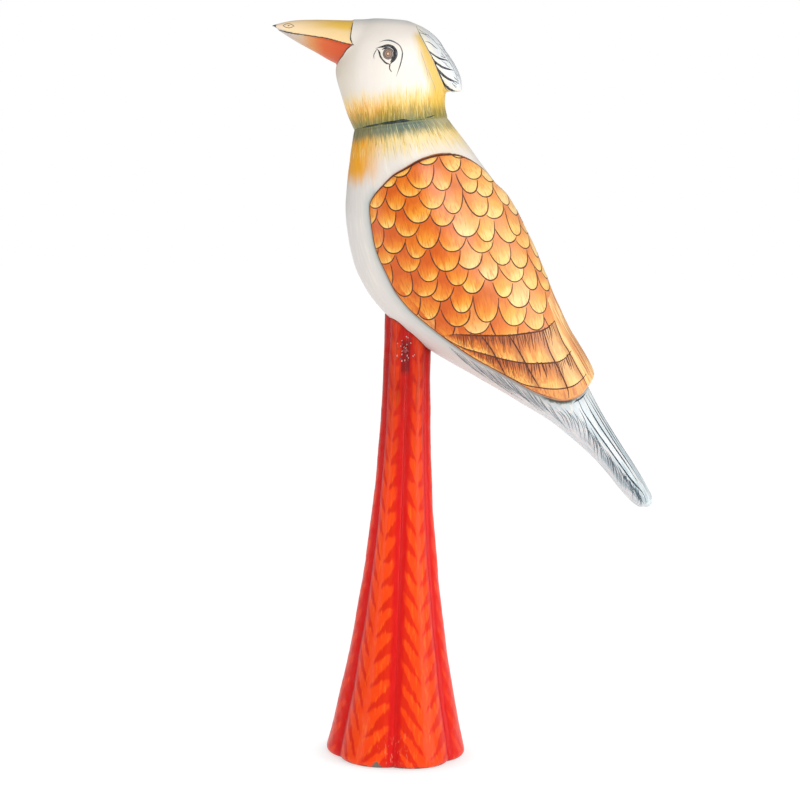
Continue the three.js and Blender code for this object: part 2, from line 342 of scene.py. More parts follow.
def make_closed(name, points, faces, fields=None):
    """A closed mesh object whose faces all look outwards."""
    obj = make_object(name, points, faces, fields)
    edit = bmesh.new()
    edit.from_mesh(obj.data)
    bmesh.ops.recalc_face_normals(edit, faces=edit.faces)
    edit.to_mesh(obj.data)
    edit.free()
    return obj


def tube_faces(rings, around, first_cap=True, last_cap=True):
    """Quads joining rings of points, with a fan over each end around an added hub point."""
    faces = []
    for i in range(rings - 1):
        for j in range(around):
            k = (j + 1) % around
            faces.append((i * around + j, i * around + k, (i + 1) * around + k, (i + 1) * around + j))
    hub = rings * around
    if first_cap:
        faces += [(hub, (j + 1) % around, j) for j in range(around)]
        hub += 1
    if last_cap:
        base = (rings - 1) * around
        faces += [(hub, base + j, base + (j + 1) % around) for j in range(around)]
    return faces


def with_hubs(grid):
    """Adds a middle point for each end ring of a (rings, around, 3) grid."""
    points = grid.reshape(-1, 3)
    return np.vstack([points, grid[0].mean(0), grid[-1].mean(0)])


def mirror(points):
    return points * (1, -1, 1)


class Strokes:
    """Painted lines as thin closed ridges of paint, gathered into one mesh."""

    def __init__(self):
        self.points = []
        self.faces = []
        self.tone = []
        self.count = 0

    def add(self, path, normal, width, lift=0.05, sink=0.16, tone=0.0):
        """A line along path on the surface with these normals. width is one number or one a point.

        lift is how far it stands proud, sink how far its edges are let into the surface.
        """
        count = len(path)
        width = np.broadcast_to(np.asarray(width, float), (count,))[:, None]
        run = np.gradient(path, axis=0)
        run /= np.maximum(np.linalg.norm(run, axis=1, keepdims=True), 1e-9)
        side = np.cross(normal, run)
        side /= np.maximum(np.linalg.norm(side, axis=1, keepdims=True), 1e-9)
        shoulder = lift * 0.6
        profile = ((-0.5, -sink), (-0.36, shoulder), (0, lift), (0.36, shoulder), (0.5, -sink))
        grid = np.stack([path + side * width * across + normal * height for across, height in profile], 1)
        around = len(profile)
        self.points.append(with_hubs(grid))
        for face in tube_faces(count, around):
            self.faces.append(tuple(v + self.count for v in face))
        total = count * around + 2
        self.tone += [tone] * total
        self.count += total

    def build(self, name):
        return make_closed(name, np.vstack(self.points), self.faces, {"tone": self.tone})


def evenly(values, count):
    """One value, or a few, spread evenly over this many places."""
    return np.interp(np.linspace(0, 1, count), np.linspace(0, 1, np.size(values)), np.atleast_1d(values))


def taper(count, start=0.3, end=0.3, run=0.2):
    """Widths that swell from a thin start and thin out again towards the end, as a brush leaves."""
    share = np.linspace(0, 1, count)
    rise = start + (1 - start) * smooth_step(share, 0, run)
    fall = end + (1 - end) * smooth_step(1 - share, 0, run)
    return rise * fall


# ------------------------------------------------------------------ materials


class Amount:
    """A number that varies over a painted surface. Arithmetic with it adds math nodes."""

    def __init__(self, paint, socket):
        self.paint = paint
        self.socket = socket

    def math(self, operation, first, second=0.0):
        made = self.paint.node("ShaderNodeMath", operation=operation)
        self.paint.join(first, made.inputs[0])
        self.paint.join(second, made.inputs[1])
        return Amount(self.paint, made.outputs[0])

    def __add__(self, other):
        return self.math("ADD", self, other)

    def __sub__(self, other):
        return self.math("SUBTRACT", self, other)

    def __mul__(self, other):
        return self.math("MULTIPLY", self, other)

    def __truediv__(self, other):
        return self.math("DIVIDE", self, other)

    def __pow__(self, other):
        return self.math("POWER", self, other)

    def __abs__(self):
        return self.math("ABSOLUTE", self)

    def fract(self):
        return self.math("FRACT", self)


class Paint:
    """A procedural material, with short helpers for its nodes."""

    def __init__(self, name, roughness, coat, coat_roughness=0.18):
        self.material = bpy.data.materials.new(name)
        self.material.use_nodes = True
        self.tree = self.material.node_tree
        self.shader = self.tree.nodes["Principled BSDF"]
        self.shader.inputs["Roughness"].default_value = roughness
        self.shader.inputs["Specular IOR Level"].default_value = 0.25
        self.shader.inputs["Coat Weight"].default_value = coat
        self.shader.inputs["Coat Roughness"].default_value = coat_roughness
        self.place = self.node("ShaderNodeTexCoord").outputs["Object"]

    def node(self, kind, **settings):
        made = self.tree.nodes.new(kind)
        for key, value in settings.items():
            setattr(made, key, value)
        return made

    def join(self, source, target):
        """Feeds a socket with a number, a colour, an amount or another node's output."""
        if isinstance(source, (int, float)):
            target.default_value = source
        elif isinstance(source, tuple):
            target.default_value = (*source, 1)
        elif isinstance(source, Amount):
            self.tree.links.new(source.socket, target)
        else:
            self.tree.links.new(source, target)

    def field(self, name):
        """A number stored on the mesh's vertices."""
        return Amount(self, self.node("ShaderNodeAttribute", attribute_name=name).outputs["Fac"])

    def axis(self, n):
        """One coordinate of the surface point, in millimetres."""
        split = self.node("ShaderNodeSeparateXYZ")
        self.join(self.place, split.inputs[0])
        return Amount(self, split.outputs[n]) / MM

    def noise_at(self, place, detail):
        made = self.node("ShaderNodeTexNoise")
        made.inputs["Scale"].default_value = 1
        made.inputs["Detail"].default_value = detail
        made.inputs["Roughness"].default_value = 0.55
        self.join(place.outputs["Vector"], made.inputs["Vector"])
        return Amount(self, made.outputs["Fac"])

    def noise(self, per_mm, detail=3, lean=0):
        """Noise between 0 and 1, with its own number of waves per millimetre along each axis.

        A lean, in degrees, tips the axes back along the body before the noise is stretched.
        """
        spread = self.node("ShaderNodeMapping", vector_type="TEXTURE")
        self.join(self.place, spread.inputs["Vector"])
        spread.inputs["Rotation"].default_value = (0, -math.radians(lean), 0)
        spread.inputs["Scale"].default_value = [MM / value for value in per_mm]
        return self.noise_at(spread, detail)

    def strands(self, across, along, detail=4):
        """Noise drawn out along the neck and body, by place round the skin and height over the joint."""
        place = self.node("ShaderNodeCombineXYZ")
        self.join(self.field("around") * across, place.inputs[0])
        self.join(self.field("seam") * along, place.inputs[1])
        return self.noise_at(place, detail)

    def speckle(self, per_mm, threshold):
        """Small scattered dots: 1 inside a dot, 0 elsewhere."""
        spread = self.node("ShaderNodeMapping")
        self.join(self.place, spread.inputs["Vector"])
        spread.inputs["Scale"].default_value = [per_mm / MM] * 3
        made = self.node("ShaderNodeTexVoronoi")
        made.inputs["Scale"].default_value = 1
        self.join(spread.outputs["Vector"], made.inputs["Vector"])
        return self.band(made.outputs["Distance"], threshold, threshold * 0.6)

    def band(self, value, low, high):
        """0 at low, 1 at high, smooth between. low may be above high."""
        made = self.node("ShaderNodeMapRange", interpolation_type="SMOOTHSTEP")
        self.join(value, made.inputs["Value"])
        made.inputs["From Min"].default_value = low
        made.inputs["From Max"].default_value = high
        return Amount(self, made.outputs["Result"])

    def mix(self, share, first, second):
        """The first colour where the share is 0, the second where it is 1."""
        made = self.node("ShaderNodeMix", data_type="RGBA")
        self.join(share, made.inputs["Factor"])
        self.join(first, made.inputs["A"])
        self.join(second, made.inputs["B"])
        return made.outputs["Result"]

    def ramp(self, value, stops):
        """A run of colours, each given with the value it stands at."""
        made = self.node("ShaderNodeValToRGB")
        self.join(value, made.inputs["Fac"])
        elements = made.color_ramp.elements
        while len(elements) < len(stops):
            elements.new(0.5)
        for element, (place, colour) in zip(elements, stops):
            element.position = place
            element.color = (*colour, 1)
        return made.outputs["Color"]

    def bump(self, height, distance_mm, strength):
        made = self.node("ShaderNodeBump")
        made.inputs["Strength"].default_value = strength
        made.inputs["Distance"].default_value = distance_mm * MM
        self.join(height, made.inputs["Height"])
        self.join(made.outputs["Normal"], self.shader.inputs["Normal"])

    def finish(self, colour):
        self.join(colour, self.shader.inputs["Base Color"])
        return self.material


def rgb(red, green, blue):
    """A colour given as 0 to 255 screen values, turned into linear light."""
    out = []
    for value in (red, green, blue):
        share = value / 255
        out.append(share / 12.92 if share <= 0.04045 else ((share + 0.055) / 1.055) ** 2.4)
    return tuple(out)


# ------------------------------------------------------------------ column


def crest_radius(z):
    below = np.maximum(1 - z / FLARE_HEIGHT, 0)
    return STEM_RADIUS + (FOOT_RADIUS - STEM_RADIUS) * below ** FLARE_POWER


def belly_height(x, y):
    """Height of the torso's underside above a place on the column's plan, by bisection."""
    low = np.full(len(x), 150.0)
    high = np.full(len(x), 215.0)
    for _ in range(22):
        middle = (low + high) / 2
        share, angle = from_side_view(TORSO, np.stack([x, middle], 1))
        half = np.abs(skin_point(TORSO, share, angle)[:, 1])
        row = rows_at(TORSO, share)
        front, along, belt, _, front_reach = section_parts(row, 0.0)
        up = ((np.stack([x, middle], 1) - front) * along).sum(1) - belt
        buried = (np.abs(y) < half) & (up > -front_reach)
        high = np.where(buried, middle, high)
        low = np.where(buried, low, middle)
    return high


def fluted_column():
    """The fluted column, from its rounded foot to the saddle under the belly."""
    around = LOBES * 56
    angle = np.linspace(0, 2 * math.pi, around, endpoint=False) - math.pi / 2
    turn = angle + math.pi / 2
    lobe = (turn / (2 * math.pi) * LOBES).astype(int)
    lobe_angle = (LOBES / 2) * turn
    swell = np.abs(np.sin(lobe_angle)) ** 0.8
    # The top ends half a millimetre inside the belly, all round the rim of the stem.
    rim = STEM_RADIUS * (1 - GROOVE_DEPTH * (1 - swell))
    top = belly_height(rim * np.cos(angle), rim * np.sin(angle)) + 0.5
    share = np.linspace(0, 1, 420) ** 1.15
    foot = FOOT_ROUND * (1 - np.cos(np.linspace(0, math.pi / 2, 14)))
    z = FOOT_ROUND + (top[None, :] - FOOT_ROUND) * share[:, None]
    z = np.vstack([np.repeat(foot[:-1, None], around, 1), z])
    under = np.maximum(FOOT_ROUND - z, 0)
    deep = FOOT_ROUND - np.sqrt(np.maximum(FOOT_ROUND ** 2 - under ** 2, 0))
    depth = GROOVE_DEPTH * (1 + 0.35 * smooth_step(z, 20, 120))
    radius = crest_radius(z) * (1 - depth * (1 - swell[None, :])) - deep
    across = np.arcsin(np.clip(np.abs(np.cos(lobe_angle)), 0, 1)) / (LOBES / 2)
    across = across[None, :] * crest_radius(z)
    edge = (math.pi / LOBES) * crest_radius(z) - across
    # Positive to the left of each lobe's crest, seen from outside.
    hand = np.sign(np.sin(2 * lobe_angle))[None, :] * across
    points = np.stack([radius * np.cos(angle), radius * np.sin(angle), z], -1).reshape(-1, 3)
    outward = np.stack([np.cos(angle), np.sin(angle), np.zeros(around)], -1)
    outward = np.tile(outward, (len(z), 1))
    wobble = 0.16 * lumps(points, 14, 3) + 0.05 * lumps(points, 4, 4)
    wobble *= smooth_step(points[:, 2], 0.2, 3)
    points = points + outward * wobble[:, None]
    chip_gap = chip_distance(points)
    bite = smooth_step(chip_gap, 0.0, 0.9) * 0.7
    points = points - outward * bite[:, None]
    fields = {
        "across": across.reshape(-1),
        "edge": edge.reshape(-1),
        "hand": hand.reshape(-1),
        "phase": np.tile(LOBE_PHASE[lobe], len(z)),
        "flush": np.tile(LOBE_FLUSH[lobe], len(z)),
        "below": np.tile(top, len(z)) - points[:, 2],
        "chip": chip_gap,
    }
    hubs = np.array([[0, 0, 0], [0, 0, top.mean()]])
    values = {key: np.r_[value, value[0], value[-1]] for key, value in fields.items()}
    return make_closed("column_carved", np.vstack([points, hubs]), tube_faces(len(z), around), values)


CHIP_OUTLINE = np.array([(-9.4, 0.0), (-8.0, 2.6), (-6.4, 3.4), (-5.6, 2.0), (-4.6, 1.4), (-4.9, 0.0)])


def chip_distance(points):
    """How far inside the chip at the front of the foot each point is, negative outside."""
    gap = signed_distance(points[:, [0, 2]], CHIP_OUTLINE)
    return np.where(points[:, 1] < 0, gap, -9.0)


def column_lacquer():
    """Red and orange chevrons up the lobes, crimson grooves, dark stem, worn foot."""
    paint = Paint("column_lacquer", roughness=0.36, coat=0.2, coat_roughness=0.12)
    paint.shader.inputs["Specular IOR Level"].default_value = 0.1
    z = paint.axis(2)
    across = paint.field("across")
    edge = paint.field("edge")
    streak = paint.noise((0.9, 0.9, 0.05), 4)
    patch = paint.noise((0.12, 0.12, 0.05), 3)
    # Strokes run from the groove edges down to a point on the middle of each lobe, steeper on its left.
    reach = across / (across + edge)
    steep = paint.band(paint.field("hand"), -0.3, 0.3) * 0.95 + 1.15
    climb = across ** 0.92 * steep
    waver = paint.noise((0.3, 0.3, 0.12), 3) * 4.5
    rise = z - climb + waver
    turns = rise / CHEVRON_SPACING + paint.field("phase")
    away = abs(turns.fract() - 0.5)
    soft = away + (streak - 0.5) * 0.3
    breadth = reach * 0.42
    stroke = paint.band(soft - breadth, 0.12, -0.06) * paint.band(reach, 0.02, 0.14)
    orange = paint.mix(patch, rgb(255, 84, 14), rgb(246, 58, 8))
    orange = paint.mix(paint.band(streak, 0.5, 0.75), orange, rgb(255, 104, 26))
    red = paint.mix(streak, rgb(214, 28, 4), rgb(232, 50, 10))
    colour = paint.mix(stroke, orange, red)
    # The lobes at the sides are flushed with red.
    flush = paint.field("flush") * paint.band(streak, 0.2, 0.6)
    colour = paint.mix(flush, colour, rgb(226, 28, 8))
    # Crimson brushed along the grooves.
    wander = (paint.noise((0.5, 0.5, 0.06), 3) - 0.5) * 2.2
    groove = paint.band(edge + wander, 3.5, 1.8)
    crimson = paint.mix(streak, rgb(196, 8, 8), rgb(232, 26, 18))
    colour = paint.mix(groove, colour, crimson)
    # Painted shade: the stem is darker in patches up under the body, and darkest just under the belly.
    top = paint.band(z, 95, 182) * paint.band(patch, 0.1, 0.6)
    colour = paint.mix(top * 0.62, colour, rgb(156, 20, 4))
    # Dark brush streaks down the stem.
    drawn = paint.band(streak, 0.5, 0.6) * paint.band(z, 100, 165)
    colour = paint.mix(drawn * 0.4, colour, rgb(130, 12, 4))
    # Painted shade, darkest just under the belly where the stem meets it.
    joint_shade = paint.band(paint.field("below") + streak * 3.0, 3.4, 1.2)
    colour = paint.mix(joint_shade * 0.75, colour, rgb(96, 30, 18))
    # A dark stain runs down the front groove from the covered nail.
    y = paint.axis(1)
    x = paint.axis(0) + wander * 0.5
    stain = paint.band(abs(x + 0.4), 2.3, 1.3) * paint.band(y, -2, -4)
    stain = stain * paint.band(z, 159, 163) * paint.band(z, 176, 173)
    colour = paint.mix(stain * 0.7, colour, rgb(98, 6, 12))
    # Pale scuffs low on the front groove.
    scuff = paint.band(paint.noise((1.3, 1.3, 0.3), 4), 0.56, 0.66) * paint.band(z, 17, 6)
    scuff = scuff * paint.band(abs(x), 8, 4) * paint.band(y, -14, -20)
    colour = paint.mix(scuff * 0.5, colour, rgb(240, 140, 110))
    # Worn foot edge, the chip's grey wood, and the bare underside.
    wear = paint.band(z, 1.5, 0.4) * paint.band(paint.noise((0.4, 0.4, 0.9), 4), 0.42, 0.52)
    colour = paint.mix(wear, colour, rgb(104, 60, 48))
    colour = paint.mix(paint.band(paint.field("chip"), 0.05, 0.35), colour, rgb(122, 108, 98))
    colour = paint.mix(paint.band(z, 0.12, 0.02), colour, rgb(176, 138, 98))
    paint.bump(streak + stroke * 0.35, 0.22, 0.6)
    return paint.finish(colour)


# ------------------------------------------------------------------ torso and tail

NECK_RADIUS = 18.5
NECK_LENGTH = math.dist(NECK_FRONT, NECK_BACK)
NECK_UP = (
    -(NECK_BACK[1] - NECK_FRONT[1]) / NECK_LENGTH,
    (NECK_BACK[0] - NECK_FRONT[0]) / NECK_LENGTH,
)


def above_seam(points):
    """Height of points over the glued joint between neck and head."""
    return (points[:, 0] - NECK_FRONT[0]) * NECK_UP[0] + (points[:, 2] - NECK_FRONT[1]) * NECK_UP[1]


def seam_dip(points):
    """How far the two glued pieces round inwards at the joint, deepest along the open crack."""
    gap = np.abs(above_seam(points))
    open_crack = smooth_step(points[:, 0], -24, -14) * (1 - smooth_step(points[:, 0], 2, 9))
    ragged = 0.75 + 0.25 * lumps(points, 3, 11)
    return (0.08 + 0.34 * open_crack) * ragged * (1 - smooth_step(gap, 0.1, 0.9))


# The wing's edge from its top round the shoulder, down the front and along to its tip.
WING_RIM = [
    (36.8, 235.6), (33.0, 239.3), (28.5, 244.4), (23.4, 248.3), (19.1, 250.3), (15.1, 251.0),
    (11.5, 250.9), (7.3, 249.9), (2.8, 248.1), (-3.2, 244.4), (-7.4, 241.7), (-11.6, 237.1),
    (-14.3, 233.7), (-16.0, 230.0), (-15.8, 225.0), (-14.8, 219.0), (-13.6, 213.4), (-11.8, 208.4),
    (-8.5, 201.9), (-4.7, 194.8), (0.7, 188.3), (5.9, 183.9), (13.0, 178.6), (19.8, 173.9), (27.8, 168.8),
    (37.0, 164.1), (44.0, 160.3), (51.3, 156.2), (58.0, 153.6), (63.0, 152.6), (67.5, 153.2),
    (71.6, 155.0), (73.9, 157.6),
]
WING_FRONT_RIM = np.array(WING_RIM[12:])


def torso():
    """The carved body and tail, one closed skin."""
    around = 300
    share = np.r_[np.linspace(0, 0.012, 10, endpoint=False), np.linspace(0.012, 1, 340)]
    angle = np.linspace(0, 2 * math.pi, around, endpoint=False)
    base = skin_point(TORSO, share[:, None], angle[None, :]).reshape(-1, 3)
    grow = 0.22 * lumps(base, 26, 1) + 0.06 * lumps(base, 7, 2)
    grow *= smooth_step(-above_seam(base), 0, 4)
    grow -= seam_dip(base)
    grid = skin_point(TORSO, share[:, None], angle[None, :], grow.reshape(len(share), around))
    # Filler stands up into the joint, so that only the painted crack shows.
    up = np.array([NECK_UP[0], 0, NECK_UP[1]])
    middle = grid[0].mean(0)
    steps = ((0.93, 1.7), (0.975, 1.35), (0.992, 0.7))
    lip = [middle + (grid[0] - middle) * shrink + up * rise for shrink, rise in steps]
    grid = np.concatenate([lip, grid])
    # A rounded end to the tail.
    middle = grid[-1].mean(0)
    tail_run = np.array([0.62, 0, -0.78])
    end = []
    for t in (0.35, 0.7, 1.05, 1.35):
        end.append(middle + (grid[-1] - middle) * math.cos(t) + tail_run * 1.3 * math.sin(t))
    grid = np.concatenate([grid, end])
    points = with_hubs(grid)
    side_view = points[:, [0, 2]]
    rim_gap, _ = distance_to_line(side_view, WING_FRONT_RIM)
    turn = np.r_[np.tile(math.pi - np.abs(angle - math.pi), len(grid)), 0, 0]
    fields = {"seam": above_seam(points), "rim_gap": rim_gap, "around": turn * NECK_RADIUS}
    return make_closed("body_carved", points, tube_faces(len(grid), around), fields)


def neck_colours(paint, colour, seam, streak, x):
    """Brushed bands of green, olive, orange and yellow on both sides of the neck joint."""
    fine = paint.strands(1.7, 0.11)
    brushed = (streak - 0.5) * 9.0 + (fine - 0.5) * 8.0
    ragged = seam + brushed
    front = paint.band(x, -4, -20)
    below = paint.band(seam, 3, 0)
    # Below the joint: pale yellow fading into the breast, with an ochre patch at the front.
    low = paint.band(ragged, -17, -4) * below
    yellow = paint.mix(fine, rgb(228, 194, 98), rgb(248, 222, 140))
    colour = paint.mix(low * 0.8, colour, yellow)
    ochre = paint.band(ragged, -24, -15) * below * paint.band(x + fine * 6.0, -6, -19)
    colour = paint.mix(ochre, colour, paint.mix(fine, rgb(230, 142, 6), rgb(250, 186, 44)))
    # Above it: orange at the front, warm yellow behind, ending in a ragged edge on the cheek.
    top = paint.mix(front, rgb(232, 190, 84), rgb(242, 156, 20))
    top = paint.mix(paint.band(fine, 0.45, 0.7) * 0.55, top, rgb(250, 212, 112))
    top = paint.mix(paint.band(ragged, 14.0, 5.0), rgb(248, 214, 124), top)
    high = paint.band(ragged, 16.5, 6.5) * paint.band(seam, 0.0, 0.6)
    colour = paint.mix(high * 0.96, colour, top)
    # Olive over that, then grey-green along the joint, thinner at the nape.
    olive = paint.band(ragged, 9.0, 3.6) * paint.band(seam, -0.2, 0.8)
    colour = paint.mix(olive * 0.78, colour, paint.mix(fine, rgb(112, 92, 20), rgb(182, 160, 66)))
    shifted = seam + 0.8 + brushed * 0.5
    close = paint.band(abs(shifted), 5.6, 1.4)
    green = paint.mix(paint.band(seam, -0.6, 1.2), rgb(62, 98, 100), rgb(94, 102, 46))
    green = paint.mix(front * 0.5, green, rgb(116, 116, 62))
    green = paint.mix(paint.band(fine, 0.45, 0.8), green, rgb(158, 166, 120))
    cover = paint.band(x, 13, 0) * 0.36 + 0.54
    colour = paint.mix(close * cover, colour, green)
    # Single hairs of the brush, dark and light, over it all.
    hair = paint.strands(3.0, 0.14)
    zone = paint.band(abs(ragged), 17, 5) * 0.5
    dark = paint.band(hair, 0.54, 0.68) * zone
    colour = paint.mix(dark, colour, rgb(108, 94, 38))
    light = paint.band(hair, 0.44, 0.32) * (zone - front * 0.3)
    return paint.mix(light, colour, rgb(252, 238, 190))


def body_paint():
    """Off-white breast with painted shade, painted neck bands, blue-grey tail and painted shadow by the
    wing's edges.
    """
    paint = Paint("body_paint", roughness=0.42, coat=0.25, coat_roughness=0.25)
    x = paint.axis(0)
    z = paint.axis(2)
    seam = paint.field("seam")
    rim_gap = paint.field("rim_gap")
    streak = paint.strands(0.45, 0.035, 3)
    cloud = paint.noise((0.05, 0.05, 0.04), 3)
    fine = paint.strands(1.2, 0.09)
    colour = paint.mix(cloud, rgb(232, 224, 214), rgb(224, 218, 214))
    colour = paint.mix(paint.band(fine, 0.45, 0.8), colour, rgb(240, 234, 222))
    # Painted shade: greyer towards the front of the breast, and darker low on the breast and belly.
    colour = paint.mix(paint.band(x, -14, -26) * 0.35, colour, rgb(206, 204, 206))
    colour = paint.mix(paint.band(z, 222, 172) * 0.45, colour, rgb(206, 198, 196))
    colour = neck_colours(paint, colour, seam, streak, x)
    # Blue-grey wash under the wing and over the tail.
    slant = x * 0.7 - z * 0.7
    tail = paint.band(slant, -92, -52)
    along = paint.noise((1.1, 1.1, 0.09), 4, lean=35)
    wash = paint.mix(along, rgb(190, 212, 220), rgb(230, 236, 238))
    wash = paint.mix(paint.band(along, 0.5, 0.66), wash, rgb(242, 238, 234))
    colour = paint.mix(tail * 0.8, colour, wash)
    pools = paint.band(paint.noise((0.3, 0.3, 0.06), 3, lean=35), 0.5, 0.66)
    pools = pools * paint.band(slant, -50, -38)
    colour = paint.mix(pools * 0.55, colour, rgb(134, 162, 172))
    # Painted shadow on the body along the wing's front edge, darker close against it.
    shade = paint.band(rim_gap, 5.0, 0.4) * paint.band(z, 246, 232)
    colour = paint.mix(shade * 0.6, colour, rgb(178, 190, 190))
    close = paint.band(rim_gap, 1.5, 0.5) * paint.band(z, 240, 228)
    colour = paint.mix(close * 0.55, colour, rgb(112, 128, 124))
    # Painted shadow, dark olive, in the corner under the wing tips.
    blot = rim_gap + paint.noise((0.7, 0.7, 0.7), 3) * 3.4
    wing_tip_shadow = paint.band(blot, 3.6, 2.2) * paint.band(x, 54, 59) * paint.band(x, 71, 66)
    colour = paint.mix(wing_tip_shadow * 0.85, colour, rgb(60, 62, 44))
    # Orange has run into the valley between the wings.
    valley = paint.band(abs(paint.axis(1)), 3.6, 2.4) * paint.band(z, 231, 224)
    valley = valley * paint.band(z, 156, 160) * paint.band(x, 36, 40)
    colour = paint.mix(valley * 0.85, colour, rgb(166, 92, 40))
    # Dirt in the open grain.
    specks = paint.speckle(0.35, 0.06) * paint.band(cloud, 0.5, 0.62)
    colour = paint.mix(specks * 0.6, colour, rgb(120, 112, 100))
    paint.bump(streak * 1.4 + fine, 0.12, 0.55)
    return paint.finish(colour)


# ------------------------------------------------------------------ wings


def to_flat(line):
    """A side-view line on the left wing, laid out on the flattened skin."""
    share, angle = from_side_view(MANTLE, line)
    return unroll(MANTLE, share, angle)


def spine_place(height, beyond=0.0):
    """The flattened place of the spine at a height, or a distance beyond it."""
    shares = np.linspace(0, 1, 400)
    backs = skin_point(MANTLE, shares, np.zeros(400))
    share = np.array([np.interp(-height, -backs[:, 2], shares)])
    row = rows_at(MANTLE, share)
    _, along, _, _, _ = section_parts(row, 0.0)
    return unroll(MANTLE, share, np.zeros(1))[0] + along[0] * beyond


def wing_edge():
    """The wing's closed outline on the flattened skin."""
    rim = to_flat(WING_RIM)
    rim = np.vstack([spine_place(229, 0.5), rim, spine_place(161.5, -2.2), spine_place(166, 0.5)])
    rim = curve_through(rim, 230)
    return np.vstack([rim, spine_place(166, 12), spine_place(200, 12), spine_place(229, 12)])


WING_EDGE = wing_edge()


def relief(gap, share):
    """Height of the wing's face over the body by distance in from its edge, sunk outside it."""
    rise = smooth_step(gap, -0.4, 0.15) * 0.75 + np.sqrt(np.clip(gap / 1.5, 0, 1)) * 0.25
    floor = WING_UNDERSIDE - 6.5 * smooth_step(share, 0.72, 0.9)
    return floor + (WING_RELIEF - floor) * rise


# The lower edges of the scales, of the first tier of long feathers and of the second, and the
# feathers' shafts.
LINE_A = to_flat([
    (18.0, 178.4), (20.5, 178.7), (30.7, 178.7), (40.5, 179.0), (46.3, 179.7), (51.6, 180.5),
    (54.9, 181.5), (58.4, 184.6),
])
LINE_B = to_flat([
    (15.8, 178.0), (17.4, 176.4), (23.9, 173.3), (30.1, 171.7), (39.2, 169.4), (47.9, 168.0), (54.9, 168.0),
    (60.3, 168.4), (63.2, 169.8), (65.6, 172.6),
])
LINE_C = to_flat([
    (33.0, 166.9), (37.0, 164.6), (42.0, 162.2), (47.9, 159.5), (53.6, 158.3), (60.7, 157.7), (66.8, 158.6),
    (70.1, 160.8), (72.0, 163.0),
])
SHAFTS = [
    to_flat([(29.8, 179.2), (34.2, 173.8), (36.8, 169.7), (39.4, 165.6), (42.0, 161.2)]),
    to_flat([(40.6, 179.4), (44.8, 173.3), (47.9, 168.4), (50.1, 164.8), (54.4, 158.4)]),
    to_flat([(53.9, 181.2), (56.8, 173.4), (59.4, 168.6), (61.6, 164.9), (65.2, 158.0), (66.2, 153.9)]),
    to_flat([(58.4, 184.6), (61.8, 176.6), (64.8, 172.1), (68.8, 165.2), (71.9, 160.0), (73.4, 157.5)]),
]
# The tone of the long feathers between the shafts, from the shoulder back to the spine.
FEATHER_SHADE = [0.2, 0.45, 0.7, 0.95, 0.55]


def right_of(flat, line):
    """Distance to a line, positive to its right or above, judged by its nearest piece."""
    best = np.full(len(flat), 1e9)
    sign = np.ones(len(flat))
    for k in range(len(line) - 1):
        a = line[k]
        run = line[k + 1] - a
        off = flat - a
        t = (off @ run) / (run @ run)
        t = np.clip(t, -9 if k == 0 else 0, 9 if k == len(line) - 2 else 1)
        gap = np.linalg.norm(off - t[:, None] * run, axis=1)
        nearer = gap < best
        best = np.where(nearer, gap, best)
        sign = np.where(nearer, np.sign(run[0] * off[:, 1] - run[1] * off[:, 0]), sign)
    return best * sign


SCALE_WIDTH = 9.2
SCALE_PITCH = 7.7
SCALE_LENGTH = 10.2
SCALE_ROUNDNESS = 2.3
FIRST_SCALE = np.array([16.0, 238.0])
SCALE_ROW = np.array([0.972, -0.235])
SCALE_DROP = np.array([0.06, -1.0])


class Scale:
    """One painted scale on the flattened wing: a rounded U that hangs from its root."""

    def __init__(self, root, tilt, width, length, tone):
        self.root = root
        self.down = np.array([math.sin(tilt), -math.cos(tilt)])
        self.across = np.array([math.cos(tilt), math.sin(tilt)])
        self.width = width
        self.length = length
        self.tone = tone

    def local(self, flat):
        off = flat - self.root
        return off @ self.across / (self.width / 2), off @ self.down / self.length

    def covers(self, flat):
        across, down = self.local(flat)
        round_end = np.abs(across) ** SCALE_ROUNDNESS + np.maximum(down, 0) ** SCALE_ROUNDNESS < 1
        return round_end & (down > -0.9)

    def outline(self):
        turn = np.linspace(-math.pi / 2, math.pi / 2, 34)
        across = signed_power(np.sin(turn), 2 / SCALE_ROUNDNESS) * self.width / 2
        down = signed_power(np.cos(turn), 2 / SCALE_ROUNDNESS) * self.length
        return self.root + across[:, None] * self.across + down[:, None] * self.down


def scale_rows():
    """The scales row by row, from the shoulder down."""
    rows = []
    for j in range(-3, 13):
        row = []
        for i in range(-6, 9):
            root = FIRST_SCALE + SCALE_ROW * SCALE_WIDTH * (i + 0.5 * (j % 2)) + SCALE_DROP * SCALE_PITCH * j
            root = root + rng.uniform(-1.6, 1.6, 2)
            width = SCALE_WIDTH * rng.uniform(0.94, 1.3)
            length = SCALE_LENGTH * rng.uniform(0.86, 1.1)
            lean = 3 + 0.3 * max(root[0], 0) + 16 * smooth_step(np.array(-root[0]), -12, 8) * (root[1] < 215)
            tilt = math.radians(lean + rng.uniform(-12, 12))
            row.append(Scale(root, tilt, width, length, rng.uniform()))
        rows.append(row)
    return rows


SCALES = scale_rows()


def scale_fields(flat):
    """Tone, depth from root (0) to tip (1) and distance across of the scale at each place."""
    tone = np.full(len(flat), 0.5)
    depth = np.full(len(flat), 0.5)
    across = np.zeros(len(flat))
    for row in reversed(SCALES):
        for scale in reversed(row):
            covered = scale.covers(flat)
            a, d = scale.local(flat[covered])
            tone[covered] = scale.tone
            depth[covered] = np.clip(d, 0, 1)
            across[covered] = np.abs(a)
    return tone, depth, across


